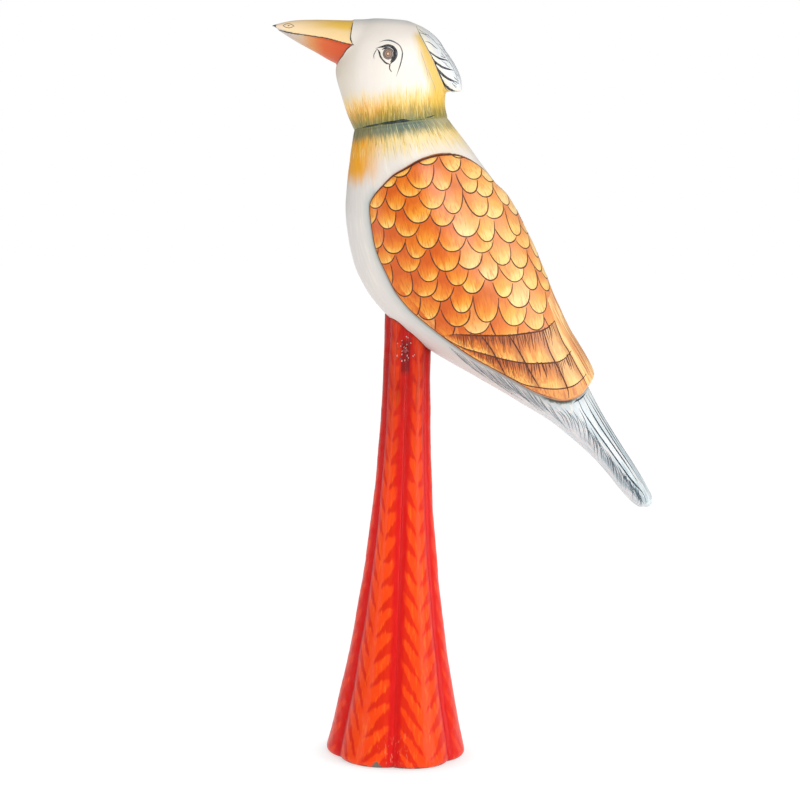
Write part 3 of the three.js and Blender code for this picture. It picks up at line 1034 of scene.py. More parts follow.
def wing_fields(flat):
    """What the wing's paint needs to know at each place of the flattened skin."""
    tone, depth, across = scale_fields(flat)
    above_a = right_of(flat, LINE_A)
    above_b = right_of(flat, LINE_B)
    above_c = right_of(flat, LINE_C)
    beyond = [right_of(flat, shaft) for shaft in SHAFTS]
    feather = sum((gap > 0).astype(int) for gap in beyond)
    inner_strip = beyond[-1] > 0
    spine_strip = inner_strip & (above_a < 9)
    near_shaft = np.min([np.where(gap < 0, -gap, 1.6 * gap + 0.6) for gap in beyond], axis=0)
    scales = (above_a > 0) & ~spine_strip
    first = (above_a <= 0) & (above_b > 0) & ~spine_strip
    second = (above_b <= 0) & (above_c > 0) & ~spine_strip
    edge = (above_c <= 0) & ~spine_strip
    shade = np.array(FEATHER_SHADE)[feather]
    depth = np.where(first, -above_a / (above_b - above_a + 1e-6), depth)
    depth = np.where(second, -above_b / (above_c - above_b + 1e-6), depth)
    depth = np.where(edge, 0.25, depth)
    depth = np.where(spine_strip, 0.75, depth)
    tone = np.where(scales, tone, shade)
    across = np.where(scales, across, 0.0)
    zone = np.where(scales, 0.0, np.where(spine_strip, 3.0, np.where(edge, 2.0, 1.0)))
    shaft = np.minimum(near_shaft, 6.0)
    return {"tone": tone, "depth": depth, "across": across, "zone": zone, "shaft": shaft}


def wing_grid():
    """Share, angle, distance in from the edge and flattened place of a grid over one wing."""
    rings, around = 380, 190
    share = np.linspace(0.045, 0.985, rings)
    probe = np.linspace(0, math.pi, 160)
    shares, angles = (grid.ravel() for grid in np.meshgrid(share[::4], probe, indexing="ij"))
    gap = signed_distance(unroll(MANTLE, shares, angles), WING_EDGE).reshape(-1, len(probe))
    reach = np.array([probe[row > -2.4].max() if (row > -2.4).any() else 0.3 for row in gap])
    reach = np.convolve(np.pad(reach, 2, "edge"), np.ones(5) / 5, "valid") + 0.05
    reach = np.interp(share, share[::4], reach)
    angle = reach[:, None] * np.linspace(0, 1, around)[None, :]
    share = np.repeat(share[:, None], around, 1)
    flat = unroll(MANTLE, share.ravel(), angle.ravel())
    gap = signed_distance(flat, WING_EDGE).reshape(share.shape)
    return share, angle, gap, flat


WING_SHARE, WING_ANGLE, WING_GAP, WING_FLAT = wing_grid()


def wing(name, side):
    """One wing: a closed shell whose face stands proud of the body and whose edge dips under it."""
    outer_grow = relief(WING_GAP, WING_SHARE)
    base = skin_point(MANTLE, WING_SHARE, WING_ANGLE)
    carve = 0.16 * lumps(base.reshape(-1, 3), 18, 5) + 0.05 * lumps(base.reshape(-1, 3), 6, 6)
    carve = carve.reshape(WING_GAP.shape)
    # The two wings meet in a shallow valley along the spine, which opens between their tips.
    valley = 0.5 + 2.6 * smooth_step(WING_SHARE, 0.8, 0.98)
    sink = 1 - smooth_step(np.abs(base[..., 1]), valley * 0.2, valley + 1.2)
    outer_grow = outer_grow + carve * smooth_step(WING_GAP, 0, 2) - 2.2 * sink
    outer = skin_point(MANTLE, WING_SHARE, WING_ANGLE, outer_grow)
    inner_grow = np.minimum(outer_grow, WING_UNDERSIDE) - 1.2
    inner = skin_point(MANTLE, WING_SHARE, WING_ANGLE, inner_grow)
    rings, around = WING_GAP.shape
    points = np.vstack([outer.reshape(-1, 3), inner.reshape(-1, 3)])
    # Neither wing crosses the bird's middle plane.
    points[:, 1] = np.minimum(points[:, 1], -0.02)
    if side == RIGHT:
        points = mirror(points)
    under = rings * around
    faces = []
    for i in range(rings - 1):
        for j in range(around - 1):
            a = i * around + j
            b = a + 1
            c = b + around
            d = a + around
            faces.append((a, b, c, d))
            faces.append((d + under, c + under, b + under, a + under))
    border = list(range(around))
    border += [i * around + around - 1 for i in range(1, rings)]
    border += [(rings - 1) * around + j for j in range(around - 2, -1, -1)]
    border += [i * around for i in range(rings - 2, 0, -1)]
    for a, b in zip(border, border[1:] + border[:1]):
        faces.append((b, a, a + under, b + under))
    fields = wing_fields(WING_FLAT)
    fields["gap"] = WING_GAP.ravel()
    fields = {key: np.tile(value, 2) for key, value in fields.items()}
    return make_closed(name, points, faces, fields)


def wing_paint():
    """Orange scales that lighten towards their tips, browner long feathers, plain edge strips."""
    paint = Paint("wing_paint", roughness=0.38, coat=0.4, coat_roughness=0.2)
    depth = paint.field("depth")
    tone = paint.field("tone")
    zone = paint.field("zone")
    across = paint.field("across")
    gap = paint.field("gap")
    x = paint.axis(0)
    z = paint.axis(2)
    hair = paint.noise((1.5, 1.5, 0.22), 3)
    cloud = paint.noise((0.22, 0.22, 0.16), 3)
    wander = (hair - 0.5) * 0.5
    blot = (cloud - 0.5) * 0.6
    fall = depth + wander + blot - across ** 2.0 * 0.12
    # Painted highlight: the wings are paler towards the spine, where a light's sheen falls on them.
    painted_glare = paint.band(x + z * 0.46, 108, 142)
    fall = fall + painted_glare * 0.26
    warm = paint.ramp(fall, [
        (0.1, rgb(206, 88, 4)), (0.4, rgb(222, 110, 14)), (0.7, rgb(232, 142, 36)), (0.97, rgb(246, 190, 90)),
    ])
    golden = paint.ramp(fall, [
        (0.1, rgb(214, 100, 8)), (0.4, rgb(230, 128, 22)), (0.7, rgb(240, 164, 50)),
        (0.97, rgb(250, 208, 116)),
    ])
    rosy = paint.ramp(fall, [
        (0.1, rgb(222, 134, 62)), (0.45, rgb(236, 164, 88)), (0.95, rgb(250, 212, 142)),
    ])
    colour = paint.mix(paint.band(tone, 0.25, 0.7), warm, golden)
    colour = paint.mix(paint.band(tone, 0.82, 0.86) * 0.8, colour, rosy)
    streaks = paint.noise((1.5, 1.5, 0.17), 4, lean=16)
    dark = paint.band(streaks, 0.5, 0.68) * 0.6
    colour = paint.mix(dark, colour, rgb(196, 80, 4))
    # The long feathers are browner, streaked, and shaded where each tucks under the next.
    feather = paint.band(zone, 0.4, 0.8) * paint.band(zone, 1.7, 1.3)
    quill = paint.ramp(depth + (streaks - 0.5) * 1.5, [
        (0.08, rgb(164, 66, 12)), (0.4, rgb(206, 102, 26)), (0.7, rgb(228, 140, 50)),
        (0.98, rgb(246, 190, 98)),
    ])
    quill = paint.mix(paint.band(tone, 0.75, 0.95) * 0.4, quill, rgb(248, 206, 132))
    tuck = paint.band(paint.field("shaft") + streaks * 1.6, 4.4, 1.3)
    quill = paint.mix(tuck * 0.66, quill, rgb(166, 76, 26))
    colour = paint.mix(feather, colour, quill)
    # Plain strips along the lower edge and along the spine.
    lower = paint.band(zone, 1.4, 1.7) * paint.band(zone, 2.6, 2.3)
    lip = paint.mix(paint.band(streaks, 0.36, 0.62), rgb(190, 82, 20), rgb(234, 148, 60))
    colour = paint.mix(lower, colour, lip)
    spine = paint.band(zone, 2.4, 2.7)
    grain = paint.noise((0.8, 0.8, 0.05), 4, lean=33)
    strip = paint.ramp(grain, [
        (0.34, rgb(196, 100, 40)), (0.47, rgb(232, 150, 78)), (0.6, rgb(250, 208, 138)),
    ])
    colour = paint.mix(spine, colour, strip)
    # More of the painted highlight towards the spine.
    colour = paint.mix(painted_glare * 0.22, colour, rgb(252, 222, 166))
    colour = paint.mix(paint.band(gap, 0.9, 0.1) * 0.7, colour, rgb(150, 70, 26))
    paint.bump(hair + cloud * 1.2, 0.1, 0.5)
    return paint.finish(colour)


# ------------------------------------------------------------------ painted lines


def places_and_normals(hits):
    """Places in millimetres, and normals evened out along the row of hits."""
    places = np.array([list(place) for place, _ in hits]) / MM
    normals = np.array([list(normal) for _, normal in hits])
    pad = np.pad(normals, ((2, 2), (0, 0)), "edge")
    normals = sum(pad[k:k + len(normals)] for k in range(5))
    return places, normals / np.linalg.norm(normals, axis=1, keepdims=True)


class Surface:
    """A finished mesh that lines are painted on."""

    def __init__(self, obj, side):
        self.side = side
        self.tree = BVHTree.FromObject(obj, bpy.context.evaluated_depsgraph_get())

    def beside(self, flat):
        """Points and normals of side-view places, on this side of the bird."""
        hits = []
        well_clear = self.side * 90
        for x, z in flat:
            start = Vector((x, well_clear, z)) * MM
            place, normal, _, _ = self.tree.ray_cast(start, Vector((0, -self.side, 0)))
            if place is None:
                place, normal, _, _ = self.tree.find_nearest(Vector((x, self.side * 3, z)) * MM)
            hits.append((place, normal))
        return places_and_normals(hits)

    def nearest(self, points):
        """The nearest points on the mesh, with their normals."""
        if self.side == RIGHT:
            points = mirror(points)
        return places_and_normals([self.tree.find_nearest(Vector(point) * MM)[:2] for point in points])


def line_count(points, step=0.45):
    points = np.asarray(points, float)
    return max(int(np.linalg.norm(np.diff(points, axis=0), axis=1).sum() / step), 6)


def draw_beside(strokes, surface, points, width, thin=0.3, run=0.2, **look):
    """A brushed line through side-view points. width is one number, or a few spread along it."""
    path = curve_through(points, line_count(points))
    places, normals = surface.beside(path)
    # Points past the outline are left out.
    found = np.hypot(places[:, 0] - path[:, 0], places[:, 2] - path[:, 1]) < 0.02
    if found.sum() < 5:
        return
    path, places, normals = path[found], places[found], normals[found]
    strokes.add(places, normals, evenly(width, len(path)) * taper(len(path), thin, thin, run), **look)


def draw_over(strokes, surface, points, inset, width, tone):
    """A brushed line over the top, this far from the middle, through side-view points above it."""
    path = curve_through(points, line_count(points))
    places, normals = surface.nearest(np.stack([path[:, 0], LEFT * evenly(inset, len(path)), path[:, 1]], 1))
    strokes.add(places, normals, width * taper(len(path), 0.3, 0.3, 0.3), tone=tone)


def draw_on_wing(strokes, surface, flat, width, **look):
    """A line along places of the flattened wing."""
    share, angle = roll_up(MANTLE, flat)
    points = skin_point(MANTLE, share, angle, WING_RELIEF)
    points[:, 1] = np.minimum(points[:, 1], -0.3)
    places, normals = surface.nearest(points)
    strokes.add(places, normals, width, **look)


def runs_of(keep, shortest):
    """Start and end of each unbroken run of kept places."""
    found = []
    start = None
    for n, kept in enumerate(list(keep) + [False]):
        if kept and start is None:
            start = n
        if not kept and start is not None:
            if n - start >= shortest:
                found.append((start, n))
            start = None
    return found


def in_scale_zone(flat):
    beyond_strip = (right_of(flat, SHAFTS[-1]) > 0) & (right_of(flat, LINE_A) < 9)
    return (right_of(flat, LINE_A) > -0.2) & (signed_distance(flat, WING_EDGE) > 0.5) & ~beyond_strip


def scale_outlines(strokes, surface):
    """The edge of each scale where no scale above or before it in its row lies over it."""
    for n, row in enumerate(SCALES):
        over = [scale for upper in SCALES[max(n - 2, 0):n] for scale in upper]
        for scale in row:
            path = scale.outline()
            keep = in_scale_zone(path)
            for cover in over:
                keep &= ~cover.covers(path)
            over.append(scale)
            for start, end in runs_of(keep, 4):
                part = path[start:end]
                width = 0.66 * rng.uniform(0.85, 1.15) * taper(len(part), 0.5, 0.5, 0.15)
                count = len(part) * 2
                draw_on_wing(strokes, surface, curve_through(part, count), evenly(width, count))


def feather_lines(strokes, surface):
    """The edges of the three tiers, the feathers' shafts, and their short hairs."""
    lines = [(LINE_A, 0.85, 0.35, 0.5), (LINE_B, 0.75, 0.35, 0.5), (LINE_C, 0.7, 0.35, 0.5)]
    lines += [(shaft, 0.75, 0.6, 0.4) for shaft in SHAFTS]
    for line, width, start, end in lines:
        path = curve_through(line, line_count(line))
        path = path[signed_distance(path, WING_EDGE) > 0.4]
        draw_on_wing(strokes, surface, path, width * taper(len(path), start, end))
    # Fine hairs hang from the top of each feather.
    for top, bottom in ((LINE_A, LINE_B), (LINE_B, LINE_C)):
        path = curve_through(top, line_count(top, 0.7))
        for place in path[4:-3]:
            start = place + rng.uniform(-0.4, 0.4, 2) + (0, 0.3)
            length = rng.uniform(2.0, 8.4)
            lean = math.radians(rng.uniform(6, 22))
            run = np.array([math.sin(lean), -math.cos(lean)])
            hair = start + run * np.linspace(0, length, 9)[:, None]
            hair = hair[(right_of(hair, bottom) > 0.3) & (signed_distance(hair, WING_EDGE) > 0.6)]
            hair = hair[right_of(hair, SHAFTS[-1]) < 0] if len(hair) else hair
            if len(hair) > 4:
                width = 0.5 * rng.uniform(0.6, 1.3) * taper(len(hair), 0.8, 0.25, 0.6)
                draw_on_wing(strokes, surface, hair, width, tone=rng.uniform(0.0, 0.45))


def rim_lines(strokes, surface):
    """The dark line round the shoulder, thinner down the front edge."""
    rim = WING_EDGE[:200]
    inward = np.gradient(rim, axis=0)
    inward = np.stack([-inward[:, 1], inward[:, 0]], 1)
    inward /= np.linalg.norm(inward, axis=1, keepdims=True)
    test = signed_distance(rim + inward, WING_EDGE) > signed_distance(rim - inward, WING_EDGE)
    inward = np.where(test[:, None], inward, -inward)
    path = (rim + inward * 0.55)[8:]
    share = np.linspace(0, 1, len(path))
    width = 0.55 + 0.65 * np.exp(-((share - 0.22) / 0.12) ** 2)
    draw_on_wing(strokes, surface, path, width * taper(len(path), 0.4, 0.4, 0.05))


def spine_lines(strokes, surface):
    """Long faint lines beside the spine on the plain inner strip."""
    marks = ((4.4, 166.5, 198), (2.6, 168, 186), (6.6, 165, 184), (8.6, 164, 178), (10.4, 163, 172))
    for inset, low, high in marks:
        path = np.array([spine_place(height, -inset) for height in np.linspace(high, low, 60)])
        path = path[signed_distance(path, WING_EDGE) > 0.6]
        draw_on_wing(strokes, surface, path, 0.4 * taper(len(path), 0.3, 0.3), tone=0.5)


def wing_lines(strokes, surface):
    scale_outlines(strokes, surface)
    feather_lines(strokes, surface)
    rim_lines(strokes, surface)
    spine_lines(strokes, surface)


def ink(name, dark, light):
    """Brushed line paint. The tone stored on a line picks between the dark and the light colour."""
    paint = Paint(name, roughness=0.4, coat=0.3, coat_roughness=0.22)
    mottle = paint.noise((0.9, 0.9, 0.9), 3)
    colour = paint.mix(paint.field("tone"), dark, light)
    colour = paint.mix(paint.band(mottle, 0.4, 0.75) * 0.35, colour, light)
    paint.bump(mottle, 0.03, 0.4)
    return paint.finish(colour)


# ------------------------------------------------------------------ head, beak and crest

# Side-view lines painted on the head, and the areas that its paint follows.
BEAK_BASE = [
    (-26.0, 302.3), (-26.4, 298.7), (-26.5, 295.5), (-25.5, 293.2), (-27.8, 291.5), (-29.6, 288.9),
    (-31.3, 286.8), (-32.6, 284.4),
]
BEAK_AREA = np.array([(-70, 312), (-26, 312)] + BEAK_BASE + [(-33.4, 278), (-70, 278)], float)
MOUTH = [
    (-59.2, 299.7), (-56.2, 298.7), (-50.8, 297.6), (-46.1, 297.0), (-41.0, 296.3), (-35.9, 295.6),
    (-30.1, 294.1), (-25.0, 293.1),
]
CREST_EDGE = [
    (-0.5, 301.8), (1.3, 298.2), (3.0, 295.3), (4.7, 292.3), (7.0, 288.4), (9.2, 283.6), (10.9, 280.0),
    (12.8, 276.4), (15.8, 275.2),
]
CREST_AREA = np.array(CREST_EDGE + [(22, 274.4), (26, 285), (20, 297), (8, 305), (-1, 305)], float)
PATCH_AREA = np.array([
    (0.4, 297.4), (2.1, 293.3), (3.4, 288.5), (5.0, 283.8), (6.6, 279.5), (7.4, 275.2), (7.6, 268.0),
    (16.0, 268.0), (14.2, 273.4), (12.4, 277.0), (10.4, 281.2), (8.0, 287.0), (4.8, 292.8), (1.9, 298.0),
])


def loft_shell(rows, rings, around):
    share = np.linspace(0, 1, rings)
    angle = np.linspace(0, 2 * math.pi, around, endpoint=False)
    grid = skin_point(rows, share[:, None], angle[None, :])
    return with_hubs(grid), tube_faces(rings, around)


def relax(points, links, rounds, amount=0.5):
    """Evens out a mesh by moving each point towards the mean of its neighbours."""
    count = np.bincount(links.ravel(), minlength=len(points))[:, None]
    for _ in range(rounds):
        total = np.zeros_like(points)
        np.add.at(total, links[:, 0], points[links[:, 1]])
        np.add.at(total, links[:, 1], points[links[:, 0]])
        points = points + (total / count - points) * amount
    return points


def head():
    """Skull, beak and crest carved from one block: their skins are merged, then cut into."""
    points = np.zeros((0, 3))
    faces = []
    for rows in (SKULL, BEAK, CREST):
        more, more_faces = loft_shell(rows, 60, 72)
        faces += [tuple(v + len(points) for v in face) for face in more_faces]
        points = np.vstack([points, more])
    rough = make_closed("head_rough", points, faces)
    remesh = rough.modifiers.new("merge", "REMESH")
    remesh.mode = "VOXEL"
    remesh.voxel_size = 0.34 * MM
    merged = rough.evaluated_get(bpy.context.evaluated_depsgraph_get()).to_mesh()
    count = len(merged.vertices)
    points = np.zeros(count * 3)
    merged.vertices.foreach_get("co", points)
    points = points.reshape(-1, 3) / MM
    links = np.zeros(len(merged.edges) * 2, int)
    merged.edges.foreach_get("vertices", links)
    faces = [tuple(face.vertices) for face in merged.polygons]
    bpy.data.objects.remove(rough)
    links = links.reshape(-1, 2)
    points = relax(points, links, 5)
    # The forehead runs smoothly into the beak.
    brow = smooth_step(points[:, 0], -33, -27) * (1 - smooth_step(points[:, 0], -12, -5))
    brow *= smooth_step(points[:, 2], 284, 289)
    points = points + (relax(points, links, 90) - points) * brow[:, None]
    points[:, 2] += 0.22 * lumps(points, 16, 8) * smooth_step(above_seam(points), 1, 5)
    points[:, 1] *= 1 + 0.006 * lumps(points, 12, 9)
    side_view = points[:, [0, 2]]
    beak = signed_distance(side_view, BEAK_AREA)
    crest = signed_distance(side_view, CREST_AREA)
    patch = signed_distance(side_view, PATCH_AREA)
    jaw = right_of(side_view, np.array(MOUTH)[::-1])
    mouth_gap, _ = distance_to_line(side_view, curve_through(MOUTH, 60))
    crest_gap, _ = distance_to_line(side_view, curve_through(CREST_EDGE, 60))
    sink = 0.35 * smooth_step(beak, -0.1, 0.5)
    sink += 0.4 * (1 - smooth_step(mouth_gap, 0.15, 0.75)) * smooth_step(beak, -0.5, 0.5)
    sink += 0.3 * (1 - smooth_step(crest_gap, 0.2, 0.9)) * smooth_step(points[:, 0], -1, 2)
    sink += seam_dip(points)
    normals = mesh_normals(points, faces)
    middle = (NECK_FRONT[0] + NECK_BACK[0]) / 2
    turn = np.arctan2(np.abs(points[:, 1]), points[:, 0] - middle)
    fields = {
        "beak": beak, "crest": crest, "patch": patch, "jaw": jaw, "seam": above_seam(points),
        "around": turn * NECK_RADIUS,
    }
    return make_closed("head_carved", points - normals * sink[:, None], faces, fields)


def mesh_normals(points, faces):
    """Outward vertex normals."""
    mesh = bpy.data.meshes.new("normals")
    mesh.from_pydata((points * MM).tolist(), [], faces)
    mesh.update()
    normals = np.zeros(len(points) * 3)
    mesh.vertices.foreach_get("normal", normals)
    bpy.data.meshes.remove(mesh)
    return normals.reshape(-1, 3)


def head_paint():
    """Off-white skull, painted neck bands, yellow patch, grey crest and two-coloured beak."""
    paint = Paint("head_paint", roughness=0.42, coat=0.25, coat_roughness=0.25)
    x = paint.axis(0)
    z = paint.axis(2)
    seam = paint.field("seam")
    streak = paint.strands(0.45, 0.035, 3)
    fine = paint.strands(1.2, 0.12)
    cloud = paint.noise((0.07, 0.07, 0.06), 3)
    colour = paint.mix(cloud, rgb(242, 234, 222), rgb(230, 222, 214))
    chin = paint.band(x, -18, -31) * paint.band(z, 302, 290)
    colour = paint.mix(chin * 0.6, colour, rgb(206, 194, 174))
    colour = paint.mix(paint.band(z, 301, 304.6) * 0.5, colour, rgb(204, 214, 214))
    colour = neck_colours(paint, colour, seam, streak, x)
    # Yellow before the crest.
    ragged = paint.field("patch") + (fine - 0.5) * 3.4
    patch = paint.band(ragged, -3.2, 1.4) * paint.band(seam, 3.0, 8.0)
    gold = paint.mix(fine, rgb(200, 156, 30), rgb(240, 202, 84))
    colour = paint.mix(patch * 0.9, colour, gold)
    # Crest.
    crest = paint.field("crest")
    lengthwise = paint.noise((0.9, 0.9, 0.3), 4)
    plume = paint.mix(lengthwise, rgb(204, 210, 214), rgb(234, 234, 232))
    plume = paint.mix(paint.band(crest, 3.0, 0.6) * 0.6, plume, rgb(244, 234, 206))
    outer = paint.band(crest, 5.0, 8.0) * paint.band(lengthwise, 0.42, 0.62)
    plume = paint.mix(outer * 0.7, plume, rgb(178, 192, 200))
    colour = paint.mix(paint.band(crest, -0.15, 0.15), colour, plume)
    # Beak: cream to yellow above, grey through tan to deep orange below.
    upper = paint.mix(paint.band(x, -50, -30), rgb(246, 216, 172), rgb(242, 196, 84))
    jaw = paint.field("jaw")
    pale = x * 0.16 + cloud * 1.6
    lip = paint.band(jaw + pale, -10.4, -8.0)
    upper = paint.mix(lip * 0.75, upper, rgb(248, 218, 170))
    upper = paint.mix(paint.band(x, -52, -58), upper, rgb(238, 214, 190))
    lower = paint.ramp(paint.band(x + cloud * 6.0, -54, -24), [
        (0.0, rgb(196, 188, 182)), (0.25, rgb(206, 176, 146)), (0.5, rgb(214, 142, 84)),
        (0.72, rgb(212, 98, 46)), (1.0, rgb(204, 78, 36)),
    ])
    bill = paint.mix(paint.band(jaw, -0.12, 0.12), upper, lower)
    bill = paint.mix(paint.band(x, -57.2, -57.9), bill, rgb(60, 50, 44))
    colour = paint.mix(paint.band(paint.field("beak"), -0.12, 0.12), colour, bill)
    specks = paint.speckle(0.3, 0.055) * paint.band(cloud, 0.5, 0.62)
    colour = paint.mix(specks * 0.6, colour, rgb(150, 140, 134))
    paint.bump(streak * 1.4 + fine, 0.12, 0.5)
    return paint.finish(colour)


IRIS = (-10.9, 289.7)
IRIS_RADIUS = 2.15


def iris(name, surface):
    """A slightly raised painted disc with its distance from the middle stored on it."""
    rings, around = 10, 40
    turn = np.linspace(0, 2 * math.pi, around, endpoint=False)
    radii = np.linspace(IRIS_RADIUS, 0.12, rings)
    spots = [np.stack([IRIS[0] + r * np.cos(turn), IRIS[1] + r * 1.06 * np.sin(turn)], 1) for r in radii]
    grid = []
    for r, spot in zip(radii, spots):
        places, normals = surface.beside(spot)
        grid.append(places + normals.mean(0) * (0.03 + 0.1 * math.sqrt(1 - (r / IRIS_RADIUS) ** 2)))
    places, normals = surface.beside(spots[0])
    grid.insert(0, places - normals.mean(0) * 0.25)
    grid.append(surface.beside(spots[-1])[0] + normals.mean(0) * 0.13)
    radius = np.r_[radii[0], radii, radii[-1]]
    points = with_hubs(np.array(grid))
    reach = np.r_[np.repeat(radius, around), radius[0], 0]
    return make_closed(name, points, tube_faces(len(grid), around), {"reach": reach})


def iris_paint():
    paint = Paint("iris_paint", roughness=0.3, coat=0.5, coat_roughness=0.1)
    mottle = paint.noise((1.6, 1.6, 1.6), 3)
    reach = paint.field("reach") + (mottle - 0.5) * 0.5
    colour = paint.ramp(reach / IRIS_RADIUS, [
        (0.1, rgb(240, 212, 180)), (0.24, rgb(176, 132, 100)), (0.34, rgb(112, 86, 74)),
        (0.52, rgb(168, 146, 132)), (0.68, rgb(98, 80, 74)), (0.84, rgb(150, 132, 124)),
        (0.97, rgb(58, 52, 52)),
    ])
    paint.bump(mottle, 0.04, 0.4)
    return paint.finish(colour)


def eye_lines(draw):
    """The lids, the ring behind the eye and the corner before it."""
    # Upper lid, thick behind the eye, with its drooping tail.
    draw(
        [
            (-16.0, 291.7), (-14.6, 292.2), (-13.2, 292.5), (-11.2, 293.0), (-9.2, 292.4), (-8.0, 290.8),
            (-7.9, 289.0), (-8.7, 287.2), (-9.9, 285.7),
        ],
        [0.5, 0.9, 1.3, 1.5, 1.7, 1.9, 1.9, 1.7, 1.2],
    )
    draw(
        [
            (-13.4, 291.3), (-12.2, 291.9), (-10.6, 291.8), (-9.3, 290.8), (-8.9, 289.2), (-9.2, 287.6),
            (-9.9, 286.4),
        ],
        [1.0, 1.2, 0.9, 1.0, 1.2, 1.2, 0.9],
    )
    # Lower lid, running out downwards.
    draw(
        [(-15.4, 291.6), (-14.5, 290.2), (-14.0, 288.6), (-12.9, 287.1), (-11.6, 286.0), (-10.0, 285.5)],
        [0.6, 1.0, 0.95, 0.8, 0.85, 1.0],
    )
    draw([(-10.0, 285.6), (-10.2, 284.3), (-9.9, 283.3), (-9.1, 282.5)], [0.9, 0.6, 0.5, 0.4])
    draw(
        [
            (-14.6, 294.3), (-12.7, 295.0), (-10.5, 295.1), (-8.2, 294.3), (-6.3, 292.9), (-5.3, 290.7),
            (-5.3, 288.5), (-5.9, 285.5), (-6.6, 283.3), (-7.3, 280.9),
        ],
        [0.4, 0.8, 0.85, 0.6, 0.5, 0.7, 0.75, 0.65, 0.55, 0.4],
        tone=0.25,
    )
    draw([(-15.5, 291.5), (-16.2, 290.2), (-16.7, 288.9), (-16.5, 287.6)], [0.5, 0.5, 0.45, 0.35], tone=0.3)


def beak_lines(draw):
    """The beak's base, the mouth and the nostril."""
    draw(BEAK_BASE[:4], [0.7, 0.5, 0.7, 0.85])
    draw(BEAK_BASE[3:], [0.6, 0.65, 0.6, 0.8])
    draw(MOUTH[::-1], [1.0, 1.15, 1.25, 1.35, 1.35, 1.3, 1.25, 1.1])
    draw([(-54.6, 300.5), (-53.4, 301.2), (-51.8, 301.3), (-49.9, 300.4)], 0.36, 0.8, tone=0.3)
    draw([(-54.6, 300.5), (-53.2, 299.8), (-51.6, 299.7), (-49.9, 300.4)], 0.32, 0.8, tone=0.3)
    draw([(-52.7, 300.5), (-52.3, 300.55), (-51.9, 300.5)], 0.55, tone=0.2)


def crest_lines(draw):
    """The crest's front edge, its feathers, and the finer strokes on and before it."""
    draw(CREST_EDGE, [0.4, 0.5, 0.4, 0.5, 0.55, 0.75, 0.8, 0.7, 0.55])
    draw([(0.9, 299.0), (2.8, 298.4), (4.8, 298.2)], [0.3, 0.45, 0.3], tone=0.1)
    draw([(3.4, 295.4), (5.4, 294.9), (7.4, 293.4), (8.6, 292.6)], [0.3, 0.5, 0.7, 0.4], tone=0.05)
    draw([(5.0, 291.8), (7.0, 290.2), (9.6, 288.8), (13.0, 288.2)], [0.6, 0.9, 1.1, 0.6])
    draw(
        [(6.0, 290.2), (7.4, 287.8), (10.0, 285.8), (12.8, 284.8), (15.4, 284.4)],
        [0.7, 1.0, 1.2, 1.0, 0.6],
    )
    draw(
        [(7.6, 287.0), (9.2, 284.2), (11.8, 281.8), (14.4, 280.4), (17.0, 279.8)],
        [0.7, 1.1, 1.25, 1.1, 0.6],
    )
    draw(
        [(9.4, 283.4), (11.2, 279.8), (13.0, 277.4), (15.2, 276.3), (16.9, 276.2)],
        [0.7, 1.1, 1.3, 1.2, 0.7],
    )
    # Short grey strokes fringe the crest's outer edge.
    for _ in range(64):
        start = np.array([rng.uniform(2, 16.5), rng.uniform(278, 300)])
        if signed_distance(start[None], CREST_AREA)[0] < 2.8:
            continue
        bend = rng.uniform(0.2, 1.2)
        line = [start, start + (0.9, -1.1 * bend), start + (2.0, -1.9 * bend)]
        draw(line, rng.uniform(0.22, 0.4), tone=rng.uniform(0.2, 0.8))
    for line in (
        [(0.5, 300.6), (3.0, 298.4), (5.6, 296.6)],
        [(2.0, 299.6), (5.6, 297.2), (9.2, 293.6)],
        [(8.4, 294.4), (11.8, 290.6), (14.6, 285.8)],
        [(12.6, 289.2), (15.6, 284.4), (17.4, 279.4)],
    ):
        draw(line, 0.35, tone=0.45)
    # Fine strokes in the yellow patch.
    for line in (
        [(2.0, 291.0), (3.6, 287.0), (4.6, 284.0), (5.4, 280.4)],
        [(5.0, 284.6), (6.4, 281.0), (7.8, 277.8), (8.6, 274.6)],
    ):
        draw(line, 0.22, tone=1.0)


def head_lines(strokes, surface):
    def draw(points, width, thin=0.35, **look):
        draw_beside(strokes, surface, points, width, thin, **look)

    eye_lines(draw)
    beak_lines(draw)
    crest_lines(draw)
    # Long strokes run down the back of the crest.
    for inset, high, low in (
        ([0.4, 1.0, 1.4], 303, 280),
        ([1.6, 3.4, 3.2], 301, 278),
        ([3.2, 5.6, 5.0], 299, 281),
    ):
        path = [(4, 303.4), (9.4, 299.6), (14.6, 294.0), (18.0, 287.0), (19.4, 279.0)]
        path = [point for point in curve_through(path, 24) if low < point[1] < high]
        draw_over(strokes, surface, path, inset, 0.42, 0.35)


def neck_bristles(strokes, body_surface, head_surface):
    """Single brush marks over the painted bands, all round the neck."""
    up = np.array([NECK_UP[0], 0, NECK_UP[1]])
    back = np.array([NECK_UP[1], 0, -NECK_UP[0]])
    for _ in range(460):
        angle = rng.uniform(0.04, math.pi - 0.04)
        base = skin_point(TORSO, np.zeros(1), np.array([angle]))[0]
        front = smooth_step(-base[0], 4, 20)
        above = rng.uniform() < 0.55
        start = rng.uniform(0.4, 9.5) if above else -rng.uniform(0.3, 9.5)
        length = rng.uniform(2.0, 6.0)
        lean = rng.uniform(-0.12, 0.12)
        height = np.linspace(start, start + (length if above else -length), 9)
        points = base + up * height[:, None] + back * lean * (height - start)[:, None]
        places, normals = (head_surface if above else body_surface).nearest(points)
        if above:
            tone = 0.2 + 0.06 * start + 0.1 * front * (start > 4)
        else:
            tone = 0.1 - 0.085 * start
        tone = float(np.clip(tone + rng.uniform(-0.14, 0.14), 0, 1))
        strokes.add(places, normals, rng.uniform(0.14, 0.34) * taper(9, 0.4, 0.2, 0.4), lift=0.02, tone=tone)


